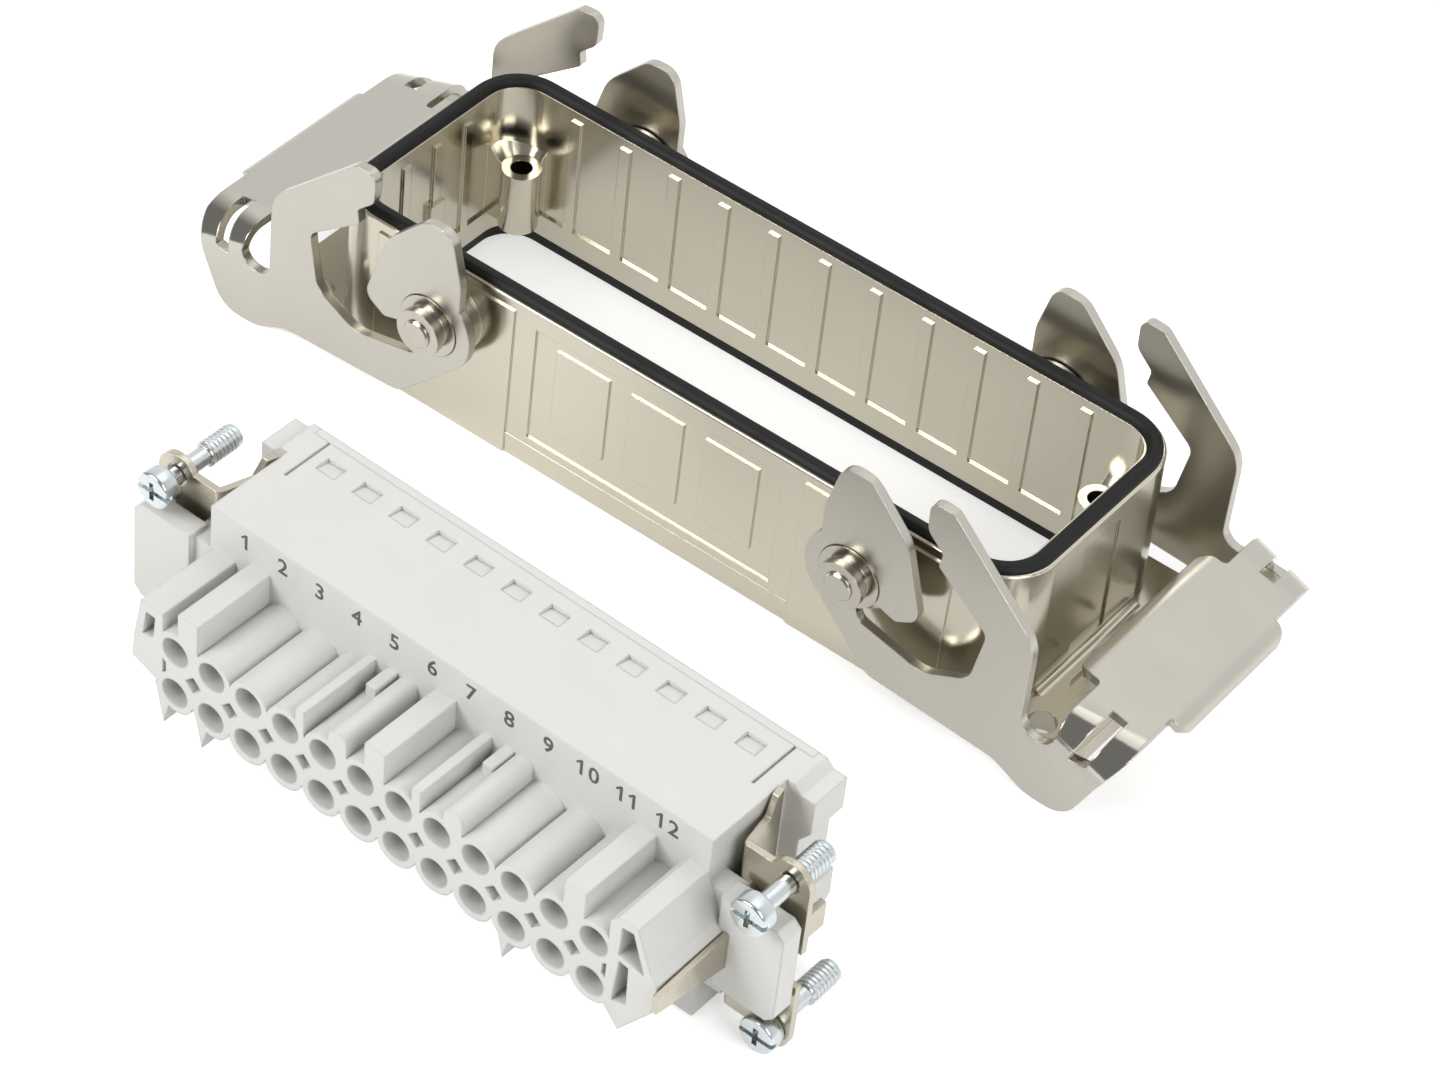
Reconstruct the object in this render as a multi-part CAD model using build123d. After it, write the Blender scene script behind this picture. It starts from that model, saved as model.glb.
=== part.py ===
from build123d import *

import math
import os

# Bulkhead housing of a rectangular multi-pole connector, with two swinging locking levers, and the
# female contact insert that screws into it, lying beside it. All sizes are millimetres.
# The origin is the middle of the four panel screw holes, on the underside of the flanges.
# +X runs along the housing, +Z points out of its mouth.

# Housing
PANEL_PITCH_X = 130.0
PANEL_PITCH_Y = 32.0
PANEL_HOLE_D = 4.3
FLANGE_MARGIN = 7.0
FLANGE_THICKNESS = 3.6
FLANGE_CORNER_R = 6.0
FLANGE_FOOT_R = 1.4
FLANGE_POCKET_WIDTH = 3.2
FLANGE_POCKET_LENGTH = 6.6
FLANGE_POCKET_PITCH = 9.6
FLANGE_POCKET_DEPTH = 0.7
MOUTH_LENGTH = 114.7
MOUTH_WIDTH = 35.2
MOUTH_CORNER_R = 5.5
HOUSING_HEIGHT = 28.0
WALL_THICKNESS = 3.2
WALL_DRAFT = 1.0
RIM_ROUND_R = 0.4
RIM_LIP = 0.4
RELIEF = 0.3
LEVER_ZONE_START = 25.5
LEVER_ZONE_END = 50.4
FRAME_LENGTH = 43.4
FRAME_BOTTOM = 5.0
FRAME_TOP_GAP = 3.0
FRAME_PAD_WIDTH = 9.4
FRAME_PAD_PITCH = 13.1
FRAME_PAD_BOTTOM = 8.7
FRAME_PAD_MARGIN = 1.6
END_RECESS_WIDTH = 8.6

# Ribs inside the mouth
RIB_RAISE = 0.4
RIB_WIDTH = 1.9
RIB_PITCH = 9.1
RIBS_PER_SIDE = 11
RIB_TOP_GAP = 1.7
BAND_TOP = 5.9
END_RIB_WIDTH = 1.6
END_RIB_PITCH = 6.9
END_RIB_TOP_GAP = 2.3
END_RIB_FOOT_TOP = 15.0
END_RIB_FOOT_WIDTH = 3.2

# Bosses that take the insert's screws
INSERT_PITCH_X = 104.0
INSERT_PITCH_Z = 27.0
BOSS_D = 6.0
BOSS_TOP = 16.5
BOSS_BOTTOM = 5.9
BOSS_THREAD_D = 3.3
BOSS_THREAD_DEPTH = 9.0
BOSS_WEB_INSET = 1.5
BOSS_CROWN = 2.0

# Gaskets
RIM_GASKET_WIDTH = 2.3
RIM_GASKET_DEPTH = 1.8
RIM_GASKET_PROUD = 1.0
RIM_GASKET_CHAMFER = 0.6
PANEL_GASKET_WIDTH = 2.4
PANEL_GASKET_HEIGHT = 2.1

# Lever pivots
PIVOT_X = 37.1
PIVOT_Z = 19.5
PIVOT_SEAT_Y = 21.6
PIN_D = 4.5
PIN_END_Y = 28.5
PIN_DEPTH_IN_WALL = 2.6
PIN_CHAMFER = 0.3
BUSH_HUB_D = 12.4
BUSH_JOURNAL_D = 9.9
BUSH_GROOVE_D = 6.6
BUSH_RING_D = 7.5
BUSH_END_Y = 28.0
BUSH_GROOVE_WIDTH = 1.0
BUSH_RING_WIDTH = 1.3
RUNNING_CLEARANCE = 0.08
SIDE_CLEARANCE = 0.3

# Levers, one bent sheet each
SHEET = 1.5
LEVER_OUTER_Y = 25.5
DISC_R = 7.4
HANDLE_SLOPE = 11.0
HANDLE_REACH = 35.1
HANDLE_DROP = 3.6
HANDLE_WIDTH = 10.0
CORNER_R_INNER = 4.5
CORNER_R_OUTER = 7.8
TONGUE_REACH = 3.6
TONGUE_HALF_WIDTH = 15.2
TONGUE_CORNER_R = 3.2
TONGUE_ROOT_R = 0.8
TONGUE_CURL_R = 3.0
TONGUE_CURL_ANGLE = 55.0
FLAP_HALF_WIDTH = 12.8
FLAP_CURL_R = 2.8
FLAP_CURL_ANGLE = 76.0
FLAP_ROOT_R = 1.8
FLAP_CORNER_R = 3.2
FLAP_TIP_MARGIN = 0.2
FLAP_REACH = 2.2
BEND_SLOT_WIDTH = 2.7
BEND_SLOT_START = 2.4
BEND_SLOT_DROP = 5.3
BEND_SLOT_HEIGHT = 9.0
BEND_SLOT_LEAN = 71.6
BEND_SLOT_END_Y = 18.0

# Corners of the right lever's side, as x, z and radius, all from the pivot: first the finger, the outer
# edge of the arm and the handle's end, then the fin round the pivot and the catch pocket
DISC_ANGLES = (220, 135)
ARM_CORNERS = (
    (10.7, 21.1, 1.6), (14.5, 20.8, 1.5), (29.6, 6.5, 6), (29.6, -9.1, 2.6), (35.1, -9.1, 2.6),
    (35.1, -1.5, 0), (48.1, -1.5, 0), (42.6, -10.9, 8), (38.6, -19.5, 5), (32.2, -19.5, 8),
    (26.4, -16.6, 8), (4.7, -15.4, 4),
)
CATCH_CORNERS = (
    (-5.3, 10, 8), (-3.2, 18.5, 2.8), (1.5, 18.1, 3.5), (8.3, 11.1, 8), (11.8, -0.9, 2.2),
    (8.1, -3.1, 1.2), (0.8, -0.7, 0), (2.2, -6.8, 2), (13.3, -9.3, 5), (20.7, -5.5, 4), (22.3, 3.8, 2),
    (16.1, 8.7, 1.5), (13.4, 10.8, 0.6), (13.8, 13.2, 1), (10.9, 15.9, 2),
)

# Insert, in its own frame: x along it, y from the mating face to the wires, z up as it lies
INSERT_X = 17.24
INSERT_Y = -99.23
INSERT_LIES_AT = 17.0
INSERT_TURN = -1.6
POLES = 12
POLE_PITCH = 6.5
ROW_Z = 3.75
SOCKET_D = 4.5
TUBE_D = 6.6
MATING_DEPTH = 13.5
DIAMOND = 2.0
BODY_HALF_LENGTH = 42.5
BODY_HALF_HEIGHT = 16.5
BODY_END_Y = 33.2
COVER_THICKNESS = 1.3
KEY_TOP = 11.0
KEY_WIDTH = 3.5
KEY_X = (-33.6, -1.1, 32.2)
THIN_RIB_TOP = 8.8
THIN_RIB_WIDTH = 1.5
THIN_RIB_X = (-13.9, 6.0)
ROUND_RIB_R = 1.6
ROUND_RIB_Z = 7.9
ROUND_RIB_X = (-7.4, 12.2)
TAB_OFFSET = 3.7
TAB_WIDTH = 1.7
TAB_TOP = 9.0
TAB_START_Y = 9.3
TOOTH_X = (-37.7, -30.8, 21.7)
TOOTH_BOTTOM = -10.5
TOOTH_WIDTH = 1.6
MATING_FLOOR = 1.5

# Corners of the end lugs and of their hollows, as x past the body's own end and z
RIGHT_LUG = (
    (-4.5, -3.0), (-4.5, 9.5), (-3.3, 10.9), (-0.2, 10.9), (2.4, 4.6), (3.6, 3.4), (3.1, -2.0), (-1.8, -9.0),
    (-4.5, -6.0),
)
RIGHT_LUG_HOLLOWS = (
    ((-2.6, 9.5), (-0.8, 9.7), (1.4, 3.6), (-2.8, 4.4)),
    ((-2.6, 3.3), (-1.1, 3.1), (-0.9, -3.6), (-3.2, -4.4)),
)
LEFT_LUG = ((-4.5, -3.3), (-4.5, 9.2), (-0.5, 9.2), (0.6, 2.7), (1.0, -1.8), (-3.1, -3.3))
LEFT_LUG_HOLLOWS = (((-3.1, 7.6), (-1.5, 7.6), (-0.9, 3.4), (-2.8, 3.8)),)

# Ends and back of the insert
WING_REACH = 3.9
WING_TOP = 9.0
LABEL_REACH = 9.0
LABEL_CHAMFER = 1.2
LABEL_START_Y = 12.5
LABEL_THICKNESS = 3.5
LABEL_TOP = 9.6
LABEL_BOTTOM = -7.0
END_BLOCK_START_Y = 28.0
END_BLOCK_REACH = 4.6
END_BLOCK_WAIST_REACH = 2.9
END_BLOCK_SHOULDER = 1.2
END_BLOCK_NECK_TOP = 7.4
END_BLOCK_NECK_BOTTOM = -1.5
WINDOW_WIDTH = 3.3
WINDOW_START_Y = 28.3
WINDOW_LENGTH = 2.6
WINDOW_DEPTH = 0.7
WINDOW_SHIFT = -0.4
END_SLOT_INSET = 3.0
END_SLOT_START_Y = 24.5
END_SLOT_WIDTH = 0.4
END_SLOT_DEPTH = 0.8

# Chambers, contacts and clamps inside the insert
CHAMBER_WIDTH = 5.2
CHAMBER_START_Y = 22.0
CHAMBER_LOW_Z = 1.2
CHAMBER_HIGH_Z = 14.6
CONTACT_START_Y = 4.5
CONTACT_WIDTH = 3.1
CONTACT_BORE_WIDTH = 2.5
CONTACT_BORE_DEPTH = 9.0
CONTACT_TAIL_END_Y = 32.6
CONTACT_TAIL_WIDTH = 3.1
CONTACT_TAIL_THICKNESS = 1.0
CLAMP_THICKNESS = 0.4
CLAMP_WIDTH = 3.4
CLAMP_GAP = 0.6
CLAMP_CROWN = 4.0
CLAMP_TIP_INSET = 2.5
CLAMP_TIP_LIFT = 1.6
CLAMP_FOOT_INSET = 1.0
ENTRY_SIDES = 8
ENTRY_R = 2.1
ENTRY_Z = 6.6
RELEASE_WIDTH = 2.8
RELEASE_HEIGHT = 1.5
RELEASE_Z = 11.6

# Earth brackets, blades and fixing screws
BRACKET_START_Y = 17.0
BRACKET_THICKNESS = 1.0
BRACKET_LOBE_R = 3.3
BRACKET_SHOULDER_Z = 15.0
BRACKET_WAIST_DEPTH = 2.0
BRACKET_WAIST_TOP = 2.5
BRACKET_WAIST_BOTTOM = -4.0
BRACKET_FOLD_REACH = 2.0
BRACKET_FOLD_R = 0.9
BRACKET_HOLE_D = 3.4
LEAF_LENGTH = 9.2
LEAF_TOP = 14.4
LEAF_TAB_TOP = 16.9
LEAF_TAB_LENGTH = 1.6
HOOK_BOTTOM = 5.0
HOOK_TOP = 9.2
HOOK_LENGTH = 3.0
BLADE_THICKNESS = 0.8
BLADE_TIP_Y = -1.2
BLADE_TOP = 3.7
BLADE_BOTTOM = -2.5
BLADE_TAPER = 1.3
SCREW_D = 4.0
SCREW_HEAD_D = 5.6
SCREW_HEAD_HEIGHT = 2.8
SCREW_NECK_D = 2.8
SCREW_NECK_LENGTH = 7.1
SCREW_LENGTH = 13.0
SCREW_POINT = 0.5
SCREW_SLOT = 0.8
SCREW_SLOT_DEPTH = 1.0
SCREW_CROSS_REACH = 1.5
SCREW_CROSS_DEPTH = 1.7
UPPER_RIGHT_DRAWN = 5.6
UPPER_LEFT_DRAWN = 2.0

# Values worked out from the sizes above
HALF_PITCH_X = PANEL_PITCH_X / 2
HALF_PITCH_Y = PANEL_PITCH_Y / 2
BASE_GROWTH = HOUSING_HEIGHT * math.tan(math.radians(WALL_DRAFT))
LEVER_INNER_Y = LEVER_OUTER_Y - SHEET
RIB_TOP = HOUSING_HEIGHT - RIB_TOP_GAP
END_RIB_TOP = HOUSING_HEIGHT - END_RIB_TOP_GAP
FRAME_TOP = HOUSING_HEIGHT - FRAME_TOP_GAP
FRAME_PAD_TOP = FRAME_TOP - FRAME_PAD_MARGIN
SLOPE = math.tan(math.radians(HANDLE_SLOPE))
POLE_X = [(i - (POLES - 1) / 2) * POLE_PITCH for i in range(POLES)]
INSERT_SCREW_X = INSERT_PITCH_X / 2
INSERT_SCREW_Z = INSERT_PITCH_Z / 2
WING_HALF_LENGTH = BODY_HALF_LENGTH + WING_REACH
LABEL_HALF_LENGTH = WING_HALF_LENGTH + LABEL_REACH
BRACKET_FOLD_X = BODY_HALF_LENGTH + BRACKET_FOLD_REACH
BRACKET_EDGE_X = INSERT_SCREW_X + BRACKET_LOBE_R
BRACKET_END_Y = BRACKET_START_Y + BRACKET_THICKNESS
COVER_END_Y = BODY_END_Y + COVER_THICKNESS
HANDLE_INNER_X = PIVOT_X + HANDLE_REACH
HANDLE_INNER_Z = PIVOT_Z - HANDLE_DROP
HANDLE_OUTER_X = HANDLE_INNER_X + HANDLE_WIDTH
TONGUE_INNER_X = HANDLE_INNER_X - TONGUE_REACH
FLAP_REACH_X = HANDLE_OUTER_X + FLAP_REACH

# How far a cut runs past a surface, how far a raised piece is sunk in a wall, and a length beyond the part
PAST = 1.0
SUNK = 0.3
FULL = 400.0


def mouth_outline(grow):
    """Outline of the housing's mouth, grown outwards all round."""
    return RectangleRounded(MOUTH_LENGTH + 2 * grow, MOUTH_WIDTH + 2 * grow, MOUTH_CORNER_R + grow)


def slab(outline, low, high):
    """An outline drawn in X and Y, made solid between two heights."""
    return Pos(0, 0, low) * extrude(outline, high - low)


def along_y(outline, start, end):
    """An outline drawn in X and Z, made solid between two values of Y."""
    return extrude(Plane.XZ.offset(-end) * outline, end - start)


def block(x0, x1, y0, y1, z0, z1):
    """A box given by its limits."""
    return Pos((x0 + x1) / 2, (y0 + y1) / 2, (z0 + z1) / 2) * Box(x1 - x0, y1 - y0, z1 - z0)


def rounded_outline(corners):
    """A closed outline from corners of x, y and radius; a radius of zero keeps a sharp corner."""
    points = [(x, y) for x, y, radius in corners]
    radii = [radius for x, y, radius in corners]
    return make_face(FilletPolyline(*points, radius=radii, close=True))


def drafted_body(grow):
    """The housing's outer form, whose walls lean in towards a rounded rim."""
    base = mouth_outline(WALL_THICKNESS + BASE_GROWTH + grow)
    body = extrude(base, HOUSING_HEIGHT, taper=WALL_DRAFT)
    return fillet(body.edges().group_by(Axis.Z)[-1], RIM_ROUND_R)


def rim_ring():
    """Outline of the seal in the rim, between the rim's two metal lips."""
    return mouth_outline(RIM_LIP + RIM_GASKET_WIDTH) - mouth_outline(RIM_LIP)


def housing_flanges():
    """The two ends that screw to the panel, with a small foot where each meets its end wall."""
    width = MOUTH_WIDTH + 2 * (WALL_THICKNESS + BASE_GROWTH)
    plate = slab(
        RectangleRounded(PANEL_PITCH_X + 2 * FLANGE_MARGIN, width, FLANGE_CORNER_R), 0, FLANGE_THICKNESS
    )
    wall_x = MOUTH_LENGTH / 2 + WALL_THICKNESS + BASE_GROWTH
    straight = MOUTH_WIDTH / 2 - MOUTH_CORNER_R
    top = FLANGE_THICKNESS
    foot = block(wall_x - PAST, wall_x + FLANGE_FOOT_R, -straight, straight, top - PAST, top + FLANGE_FOOT_R)
    hollow = Pos(wall_x + FLANGE_FOOT_R, 0, top + FLANGE_FOOT_R) * Rot(90, 0, 0)
    foot -= hollow * Cylinder(FLANGE_FOOT_R, 4 * straight)
    plate += foot + mirror(foot, about=Plane.YZ)
    pocket = SlotOverall(FLANGE_POCKET_LENGTH, FLANGE_POCKET_WIDTH, rotation=90)
    pocket = slab(pocket, top - FLANGE_POCKET_DEPTH, top + PAST)
    for x in (-HALF_PITCH_X, HALF_PITCH_X):
        for side in (-1, 1):
            plate -= Pos(x, side * HALF_PITCH_Y, 0) * Cylinder(PANEL_HOLE_D / 2, 4 * FLANGE_THICKNESS)
            plate -= Pos(x, side * FLANGE_POCKET_PITCH / 2, 0) * pocket
    return plate


def side_relief():
    """The shallow frame with raised pads in the middle of each long outer wall."""
    skin = drafted_body(0) - drafted_body(-RELIEF)
    half = FRAME_LENGTH / 2
    frame = block(-half, half, -FULL, FULL, FRAME_BOTTOM, FRAME_TOP)
    for step in (-1, 0, 1):
        middle = step * FRAME_PAD_PITCH
        low = middle - FRAME_PAD_WIDTH / 2
        frame -= block(low, low + FRAME_PAD_WIDTH, -FULL, FULL, FRAME_PAD_BOTTOM, FRAME_PAD_TOP)
    ends = block(-FULL, FULL, -END_RECESS_WIDTH / 2, END_RECESS_WIDTH / 2, FRAME_BOTTOM, FRAME_TOP)
    return skin & (frame + ends)


def lever_zones():
    """The slightly raised stretches of the long walls that the levers swing along."""
    grown = drafted_body(RELIEF)
    zones = Part()
    for side in (-1, 1):
        low, high = sorted((side * LEVER_ZONE_START, side * LEVER_ZONE_END))
        zones += block(low, high, -FULL, FULL, 0, HOUSING_HEIGHT - RIM_GASKET_DEPTH)
    seats = Part()
    for x in (-PIVOT_X, PIVOT_X):
        seats += Pos(x, 0, PIVOT_Z) * Rot(90, 0, 0) * Cylinder(BUSH_HUB_D / 2, 2 * PIVOT_SEAT_Y)
    return grown & zones, seats


def inner_ribs():
    """Ribs and the band below them, raised from the inner walls."""
    lift = RIB_RAISE + SUNK
    ribs = slab(mouth_outline(SUNK) - mouth_outline(-RIB_RAISE), PANEL_GASKET_HEIGHT, BAND_TOP)
    wall_y = MOUTH_WIDTH / 2 - RIB_RAISE
    wall_x = MOUTH_LENGTH / 2 - RIB_RAISE
    for i in range(RIBS_PER_SIDE):
        x = (i - (RIBS_PER_SIDE - 1) / 2) * RIB_PITCH
        rib = block(x - RIB_WIDTH / 2, x + RIB_WIDTH / 2, wall_y, wall_y + lift, BAND_TOP - PAST, RIB_TOP)
        ribs += [rib, mirror(rib, about=Plane.XZ)]
    for step in (-1, 0, 1):
        y = step * END_RIB_PITCH
        half = END_RIB_WIDTH / 2
        rib = block(wall_x, wall_x + lift, y - half, y + half, BAND_TOP - PAST, END_RIB_TOP)
        ribs += [rib, mirror(rib, about=Plane.YZ)]
    half = END_RIB_FOOT_WIDTH / 2
    foot = block(wall_x - RIB_RAISE, wall_x + lift, -half, half, PANEL_GASKET_HEIGHT, END_RIB_FOOT_TOP)
    ribs += [foot, mirror(foot, about=Plane.YZ)]
    return ribs


def insert_bosses():
    """Four corner bosses for the insert's screws, each in a web whose crown is hollowed to a funnel."""
    x = INSERT_PITCH_X / 2
    y = INSERT_PITCH_Z / 2
    web_top = BOSS_TOP + BOSS_CROWN
    web = block(x - BOSS_WEB_INSET, FULL, y - BOSS_WEB_INSET, FULL, BOSS_BOTTOM, web_top)
    web &= slab(mouth_outline(SUNK), 0, web_top)
    web += Pos(x, y, BOSS_BOTTOM) * Cylinder(
        BOSS_D / 2, web_top - BOSS_BOTTOM, align=(Align.CENTER,) * 2 + (Align.MIN,)
    )
    funnel = Cone(BOSS_D / 2, BOSS_D / 2 + BOSS_CROWN, BOSS_CROWN, align=(Align.CENTER,) * 2 + (Align.MIN,))
    web -= Pos(x, y, BOSS_TOP) * funnel
    drill = Cylinder(BOSS_THREAD_D / 2, BOSS_THREAD_DEPTH, align=(Align.CENTER,) * 2 + (Align.MAX,))
    bosses = Part() + web
    bosses += mirror(web, about=Plane.YZ)
    bosses += mirror(bosses, about=Plane.XZ)
    drills = [Pos(sx * x, sy * y, BOSS_TOP) * drill for sx in (-1, 1) for sy in (-1, 1)]
    return bosses, drills


def housing_shell():
    """The die-cast housing: drafted walls round an open mouth, with flanges, bosses and seats."""
    zones, seats = lever_zones()
    shell = drafted_body(0) - side_relief()
    shell += zones
    shell += seats
    shell += housing_flanges()
    shell -= slab(mouth_outline(0), -PAST, HOUSING_HEIGHT + PAST)
    shell += inner_ribs()
    bosses, drills = insert_bosses()
    shell += bosses
    shell -= drills
    shell -= slab(rim_ring(), HOUSING_HEIGHT - RIM_GASKET_DEPTH, HOUSING_HEIGHT + PAST)
    panel_seat = mouth_outline(PANEL_GASKET_WIDTH) - mouth_outline(0)
    shell -= slab(panel_seat, -PAST, PANEL_GASKET_HEIGHT)
    depth = PIN_DEPTH_IN_WALL
    for x in (-PIVOT_X, PIVOT_X):
        for side in (-1, 1):
            middle = side * (PIVOT_SEAT_Y - depth / 2)
            shell -= Pos(x, middle, PIVOT_Z) * Rot(90, 0, 0) * Cylinder(PIN_D / 2, depth)
    return shell


def rim_gasket():
    """The seal in the rim's groove, standing a little proud of the metal lips beside it."""
    seal = slab(rim_ring(), HOUSING_HEIGHT - RIM_GASKET_DEPTH, HOUSING_HEIGHT + RIM_GASKET_PROUD)
    top = seal.edges().filter_by_position(Axis.Z, HOUSING_HEIGHT, HOUSING_HEIGHT + RIM_GASKET_PROUD + PAST)
    return chamfer(top, RIM_GASKET_CHAMFER)


def panel_gasket():
    """The seal between the housing and the panel, flush with the underside."""
    return slab(mouth_outline(PANEL_GASKET_WIDTH) - mouth_outline(0), 0, PANEL_GASKET_HEIGHT)


def on_pivot(x, side, solid):
    """Place a piece, made along +Z from the housing's middle plane, on one of the four pivots."""
    return Pos(x, 0, PIVOT_Z) * Rot(-90 * side, 0, 0) * solid


def pivot_pin():
    """A plain pin standing in the wall."""
    length = PIN_END_Y - PIVOT_SEAT_Y + PIN_DEPTH_IN_WALL
    pin = Pos(0, 0, PIN_END_Y - length / 2) * Cylinder(PIN_D / 2, length)
    return chamfer(pin.edges().group_by(Axis.Z)[-1], PIN_CHAMFER)


def pivot_bush():
    """A turned bush: hub on the wall, journal in the lever, a groove and a thin outer ring."""
    bore = PIN_D / 2
    journal_start = LEVER_INNER_Y - SIDE_CLEARANCE
    ring_start = BUSH_END_Y - BUSH_RING_WIDTH
    groove_start = ring_start - BUSH_GROOVE_WIDTH
    profile = Polyline(
        (bore, PIVOT_SEAT_Y),
        (BUSH_HUB_D / 2, PIVOT_SEAT_Y),
        (BUSH_HUB_D / 2, journal_start),
        (BUSH_JOURNAL_D / 2, journal_start),
        (BUSH_JOURNAL_D / 2, groove_start),
        (BUSH_GROOVE_D / 2, groove_start),
        (BUSH_GROOVE_D / 2, ring_start),
        (BUSH_RING_D / 2, ring_start),
        (BUSH_RING_D / 2, BUSH_END_Y),
        (bore, BUSH_END_Y),
        close=True,
    )
    return revolve(Plane.XZ * make_face(profile), Axis.Z)


def lever_side_outline():
    """Side view of the right lever: finger, pocket, fin round the pivot, arm and handle corner."""
    rim = [
        (DISC_R * math.cos(math.radians(a)), DISC_R * math.sin(math.radians(a)), 0) for a in DISC_ANGLES
    ]
    outline = rounded_outline([*ARM_CORNERS, *rim, *CATCH_CORNERS])
    outline += Circle(DISC_R) & Pos(-DISC_R / 2, 0) * Rectangle(DISC_R, 2 * DISC_R)
    outline -= Circle(BUSH_JOURNAL_D / 2 + RUNNING_CLEARANCE)
    return Pos(PIVOT_X, PIVOT_Z) * outline


def channel_section(x, corner_r):
    """The bent sheet's section across the lever at one X: two sides joined by the cross plate."""
    top = HANDLE_INNER_Z - SLOPE * (x - HANDLE_INNER_X)
    thick = SHEET / math.cos(math.radians(HANDLE_SLOPE))
    outer = [
        (-LEVER_OUTER_Y, -PAST, 0),
        (-LEVER_OUTER_Y, top, corner_r),
        (LEVER_OUTER_Y, top, corner_r),
        (LEVER_OUTER_Y, -PAST, 0),
    ]
    inner = [
        (-LEVER_INNER_Y, -PAST, 0),
        (-LEVER_INNER_Y, top - thick, corner_r - SHEET),
        (LEVER_INNER_Y, top - thick, corner_r - SHEET),
        (LEVER_INNER_Y, -PAST, 0),
    ]
    section = rounded_outline(outer) - rounded_outline(inner)
    return Plane.YZ.offset(x) * section


def curl(centre, radius, start, turn):
    """A curled stretch of sheet seen from the side, between two angles."""
    outer = CenterArc(centre, radius, start, turn)
    inner = CenterArc(centre, radius - SHEET, start, turn)
    edges = [outer, inner, Line(outer @ 0, inner @ 0), Line(outer @ 1, inner @ 1)]
    return make_face(edges)


def handle_plate():
    """The cross plate: a sloping flat with its inner edge and its finger flap curled down."""
    normal_angle = 90 - HANDLE_SLOPE
    normal = Vector(math.sin(math.radians(HANDLE_SLOPE)), math.cos(math.radians(HANDLE_SLOPE)))
    rise = TONGUE_CURL_R * (math.sin(math.radians(TONGUE_CURL_ANGLE + HANDLE_SLOPE)) - normal.X)
    start_x = TONGUE_INNER_X + rise
    end_x = FLAP_REACH_X - FLAP_CURL_R * (1 - normal.X)
    start = Vector(start_x, HANDLE_INNER_Z - SLOPE * (start_x - HANDLE_INNER_X))
    end = Vector(end_x, HANDLE_INNER_Z - SLOPE * (end_x - HANDLE_INNER_X))
    under_start = start - normal * SHEET
    under_end = end - normal * SHEET
    flat = make_face(Polyline(start, end, under_end, under_start, close=True))
    inner_centre = start - normal * TONGUE_CURL_R
    outer_centre = end - normal * FLAP_CURL_R
    profile = flat + curl(inner_centre, TONGUE_CURL_R, normal_angle, TONGUE_CURL_ANGLE)
    profile += curl(outer_centre, FLAP_CURL_R, normal_angle, -FLAP_CURL_ANGLE)
    half = LEVER_OUTER_Y - CORNER_R_OUTER
    plate = along_y(profile, -half, half)
    beyond = FLAP_REACH_X + PAST
    plan = [
        (TONGUE_INNER_X - PAST, -TONGUE_HALF_WIDTH, TONGUE_CORNER_R),
        (TONGUE_INNER_X - PAST, TONGUE_HALF_WIDTH, TONGUE_CORNER_R),
        (HANDLE_INNER_X, TONGUE_HALF_WIDTH, TONGUE_ROOT_R),
        (HANDLE_INNER_X, half, 0),
        (HANDLE_OUTER_X, half, 0),
        (HANDLE_OUTER_X, FLAP_HALF_WIDTH, FLAP_ROOT_R),
        (beyond, FLAP_HALF_WIDTH, 0),
        (beyond, -FLAP_HALF_WIDTH, 0),
        (HANDLE_OUTER_X, -FLAP_HALF_WIDTH, FLAP_ROOT_R),
        (HANDLE_OUTER_X, -half, 0),
        (HANDLE_INNER_X, -half, 0),
        (HANDLE_INNER_X, -TONGUE_HALF_WIDTH, TONGUE_ROOT_R),
    ]
    plate &= slab(rounded_outline(plan), -FULL, FULL)
    tip = outer_centre + Vector(FLAP_CURL_R, 0)
    lean = Vector(math.sqrt(0.5), -math.sqrt(0.5))
    reach = (tip - end).dot(lean) + FLAP_TIP_MARGIN
    rounding = [
        (-FULL, -FULL, 0),
        (0, -FULL, 0),
        (0, -FLAP_HALF_WIDTH, 0),
        (reach, -FLAP_HALF_WIDTH, FLAP_CORNER_R),
        (reach, FLAP_HALF_WIDTH, FLAP_CORNER_R),
        (0, FLAP_HALF_WIDTH, 0),
        (0, FULL, 0),
        (-FULL, FULL, 0),
    ]
    tilted = Plane((end.X, 0, end.Y), x_dir=(lean.X, 0, lean.Y), z_dir=(-lean.Y, 0, lean.X))
    return plate & extrude(tilted * rounded_outline(rounding), FULL, both=True)


def right_lever():
    """One locking lever: two side plates and a handle, folded from a single sheet."""
    side = lever_side_outline()
    plate = along_y(side, LEVER_INNER_Y, LEVER_OUTER_Y)
    bend_start = HANDLE_INNER_Z - CORNER_R_INNER
    plate &= block(0, HANDLE_INNER_X, 0, FULL, -FULL, FULL) + block(
        0, HANDLE_INNER_X + SHEET / 4, 0, FULL, -FULL, bend_start - SHEET / 4
    )
    corner = loft(
        [
            channel_section(HANDLE_INNER_X, CORNER_R_INNER).face(),
            channel_section(HANDLE_OUTER_X + PAST, CORNER_R_OUTER).face(),
        ],
        ruled=True,
    )
    corner &= along_y(side, -FULL, FULL)
    corner &= block(0, HANDLE_OUTER_X, -FULL, FULL, -FULL, FULL)
    low = Vector(HANDLE_INNER_X + BEND_SLOT_START, HANDLE_INNER_Z - BEND_SLOT_DROP)
    high = low + Vector(BEND_SLOT_HEIGHT, 0).rotate(Axis.Z, BEND_SLOT_LEAN)
    across = Vector(BEND_SLOT_WIDTH, 0)
    slot = Polyline(low, high, high + across, low + across, close=True)
    cut = along_y(make_face(slot), BEND_SLOT_END_Y, FULL)
    corner -= cut
    corner -= mirror(cut, about=Plane.XZ)
    lever = corner + plate
    lever += mirror(plate, about=Plane.XZ)
    lever += handle_plate()
    return lever


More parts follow.
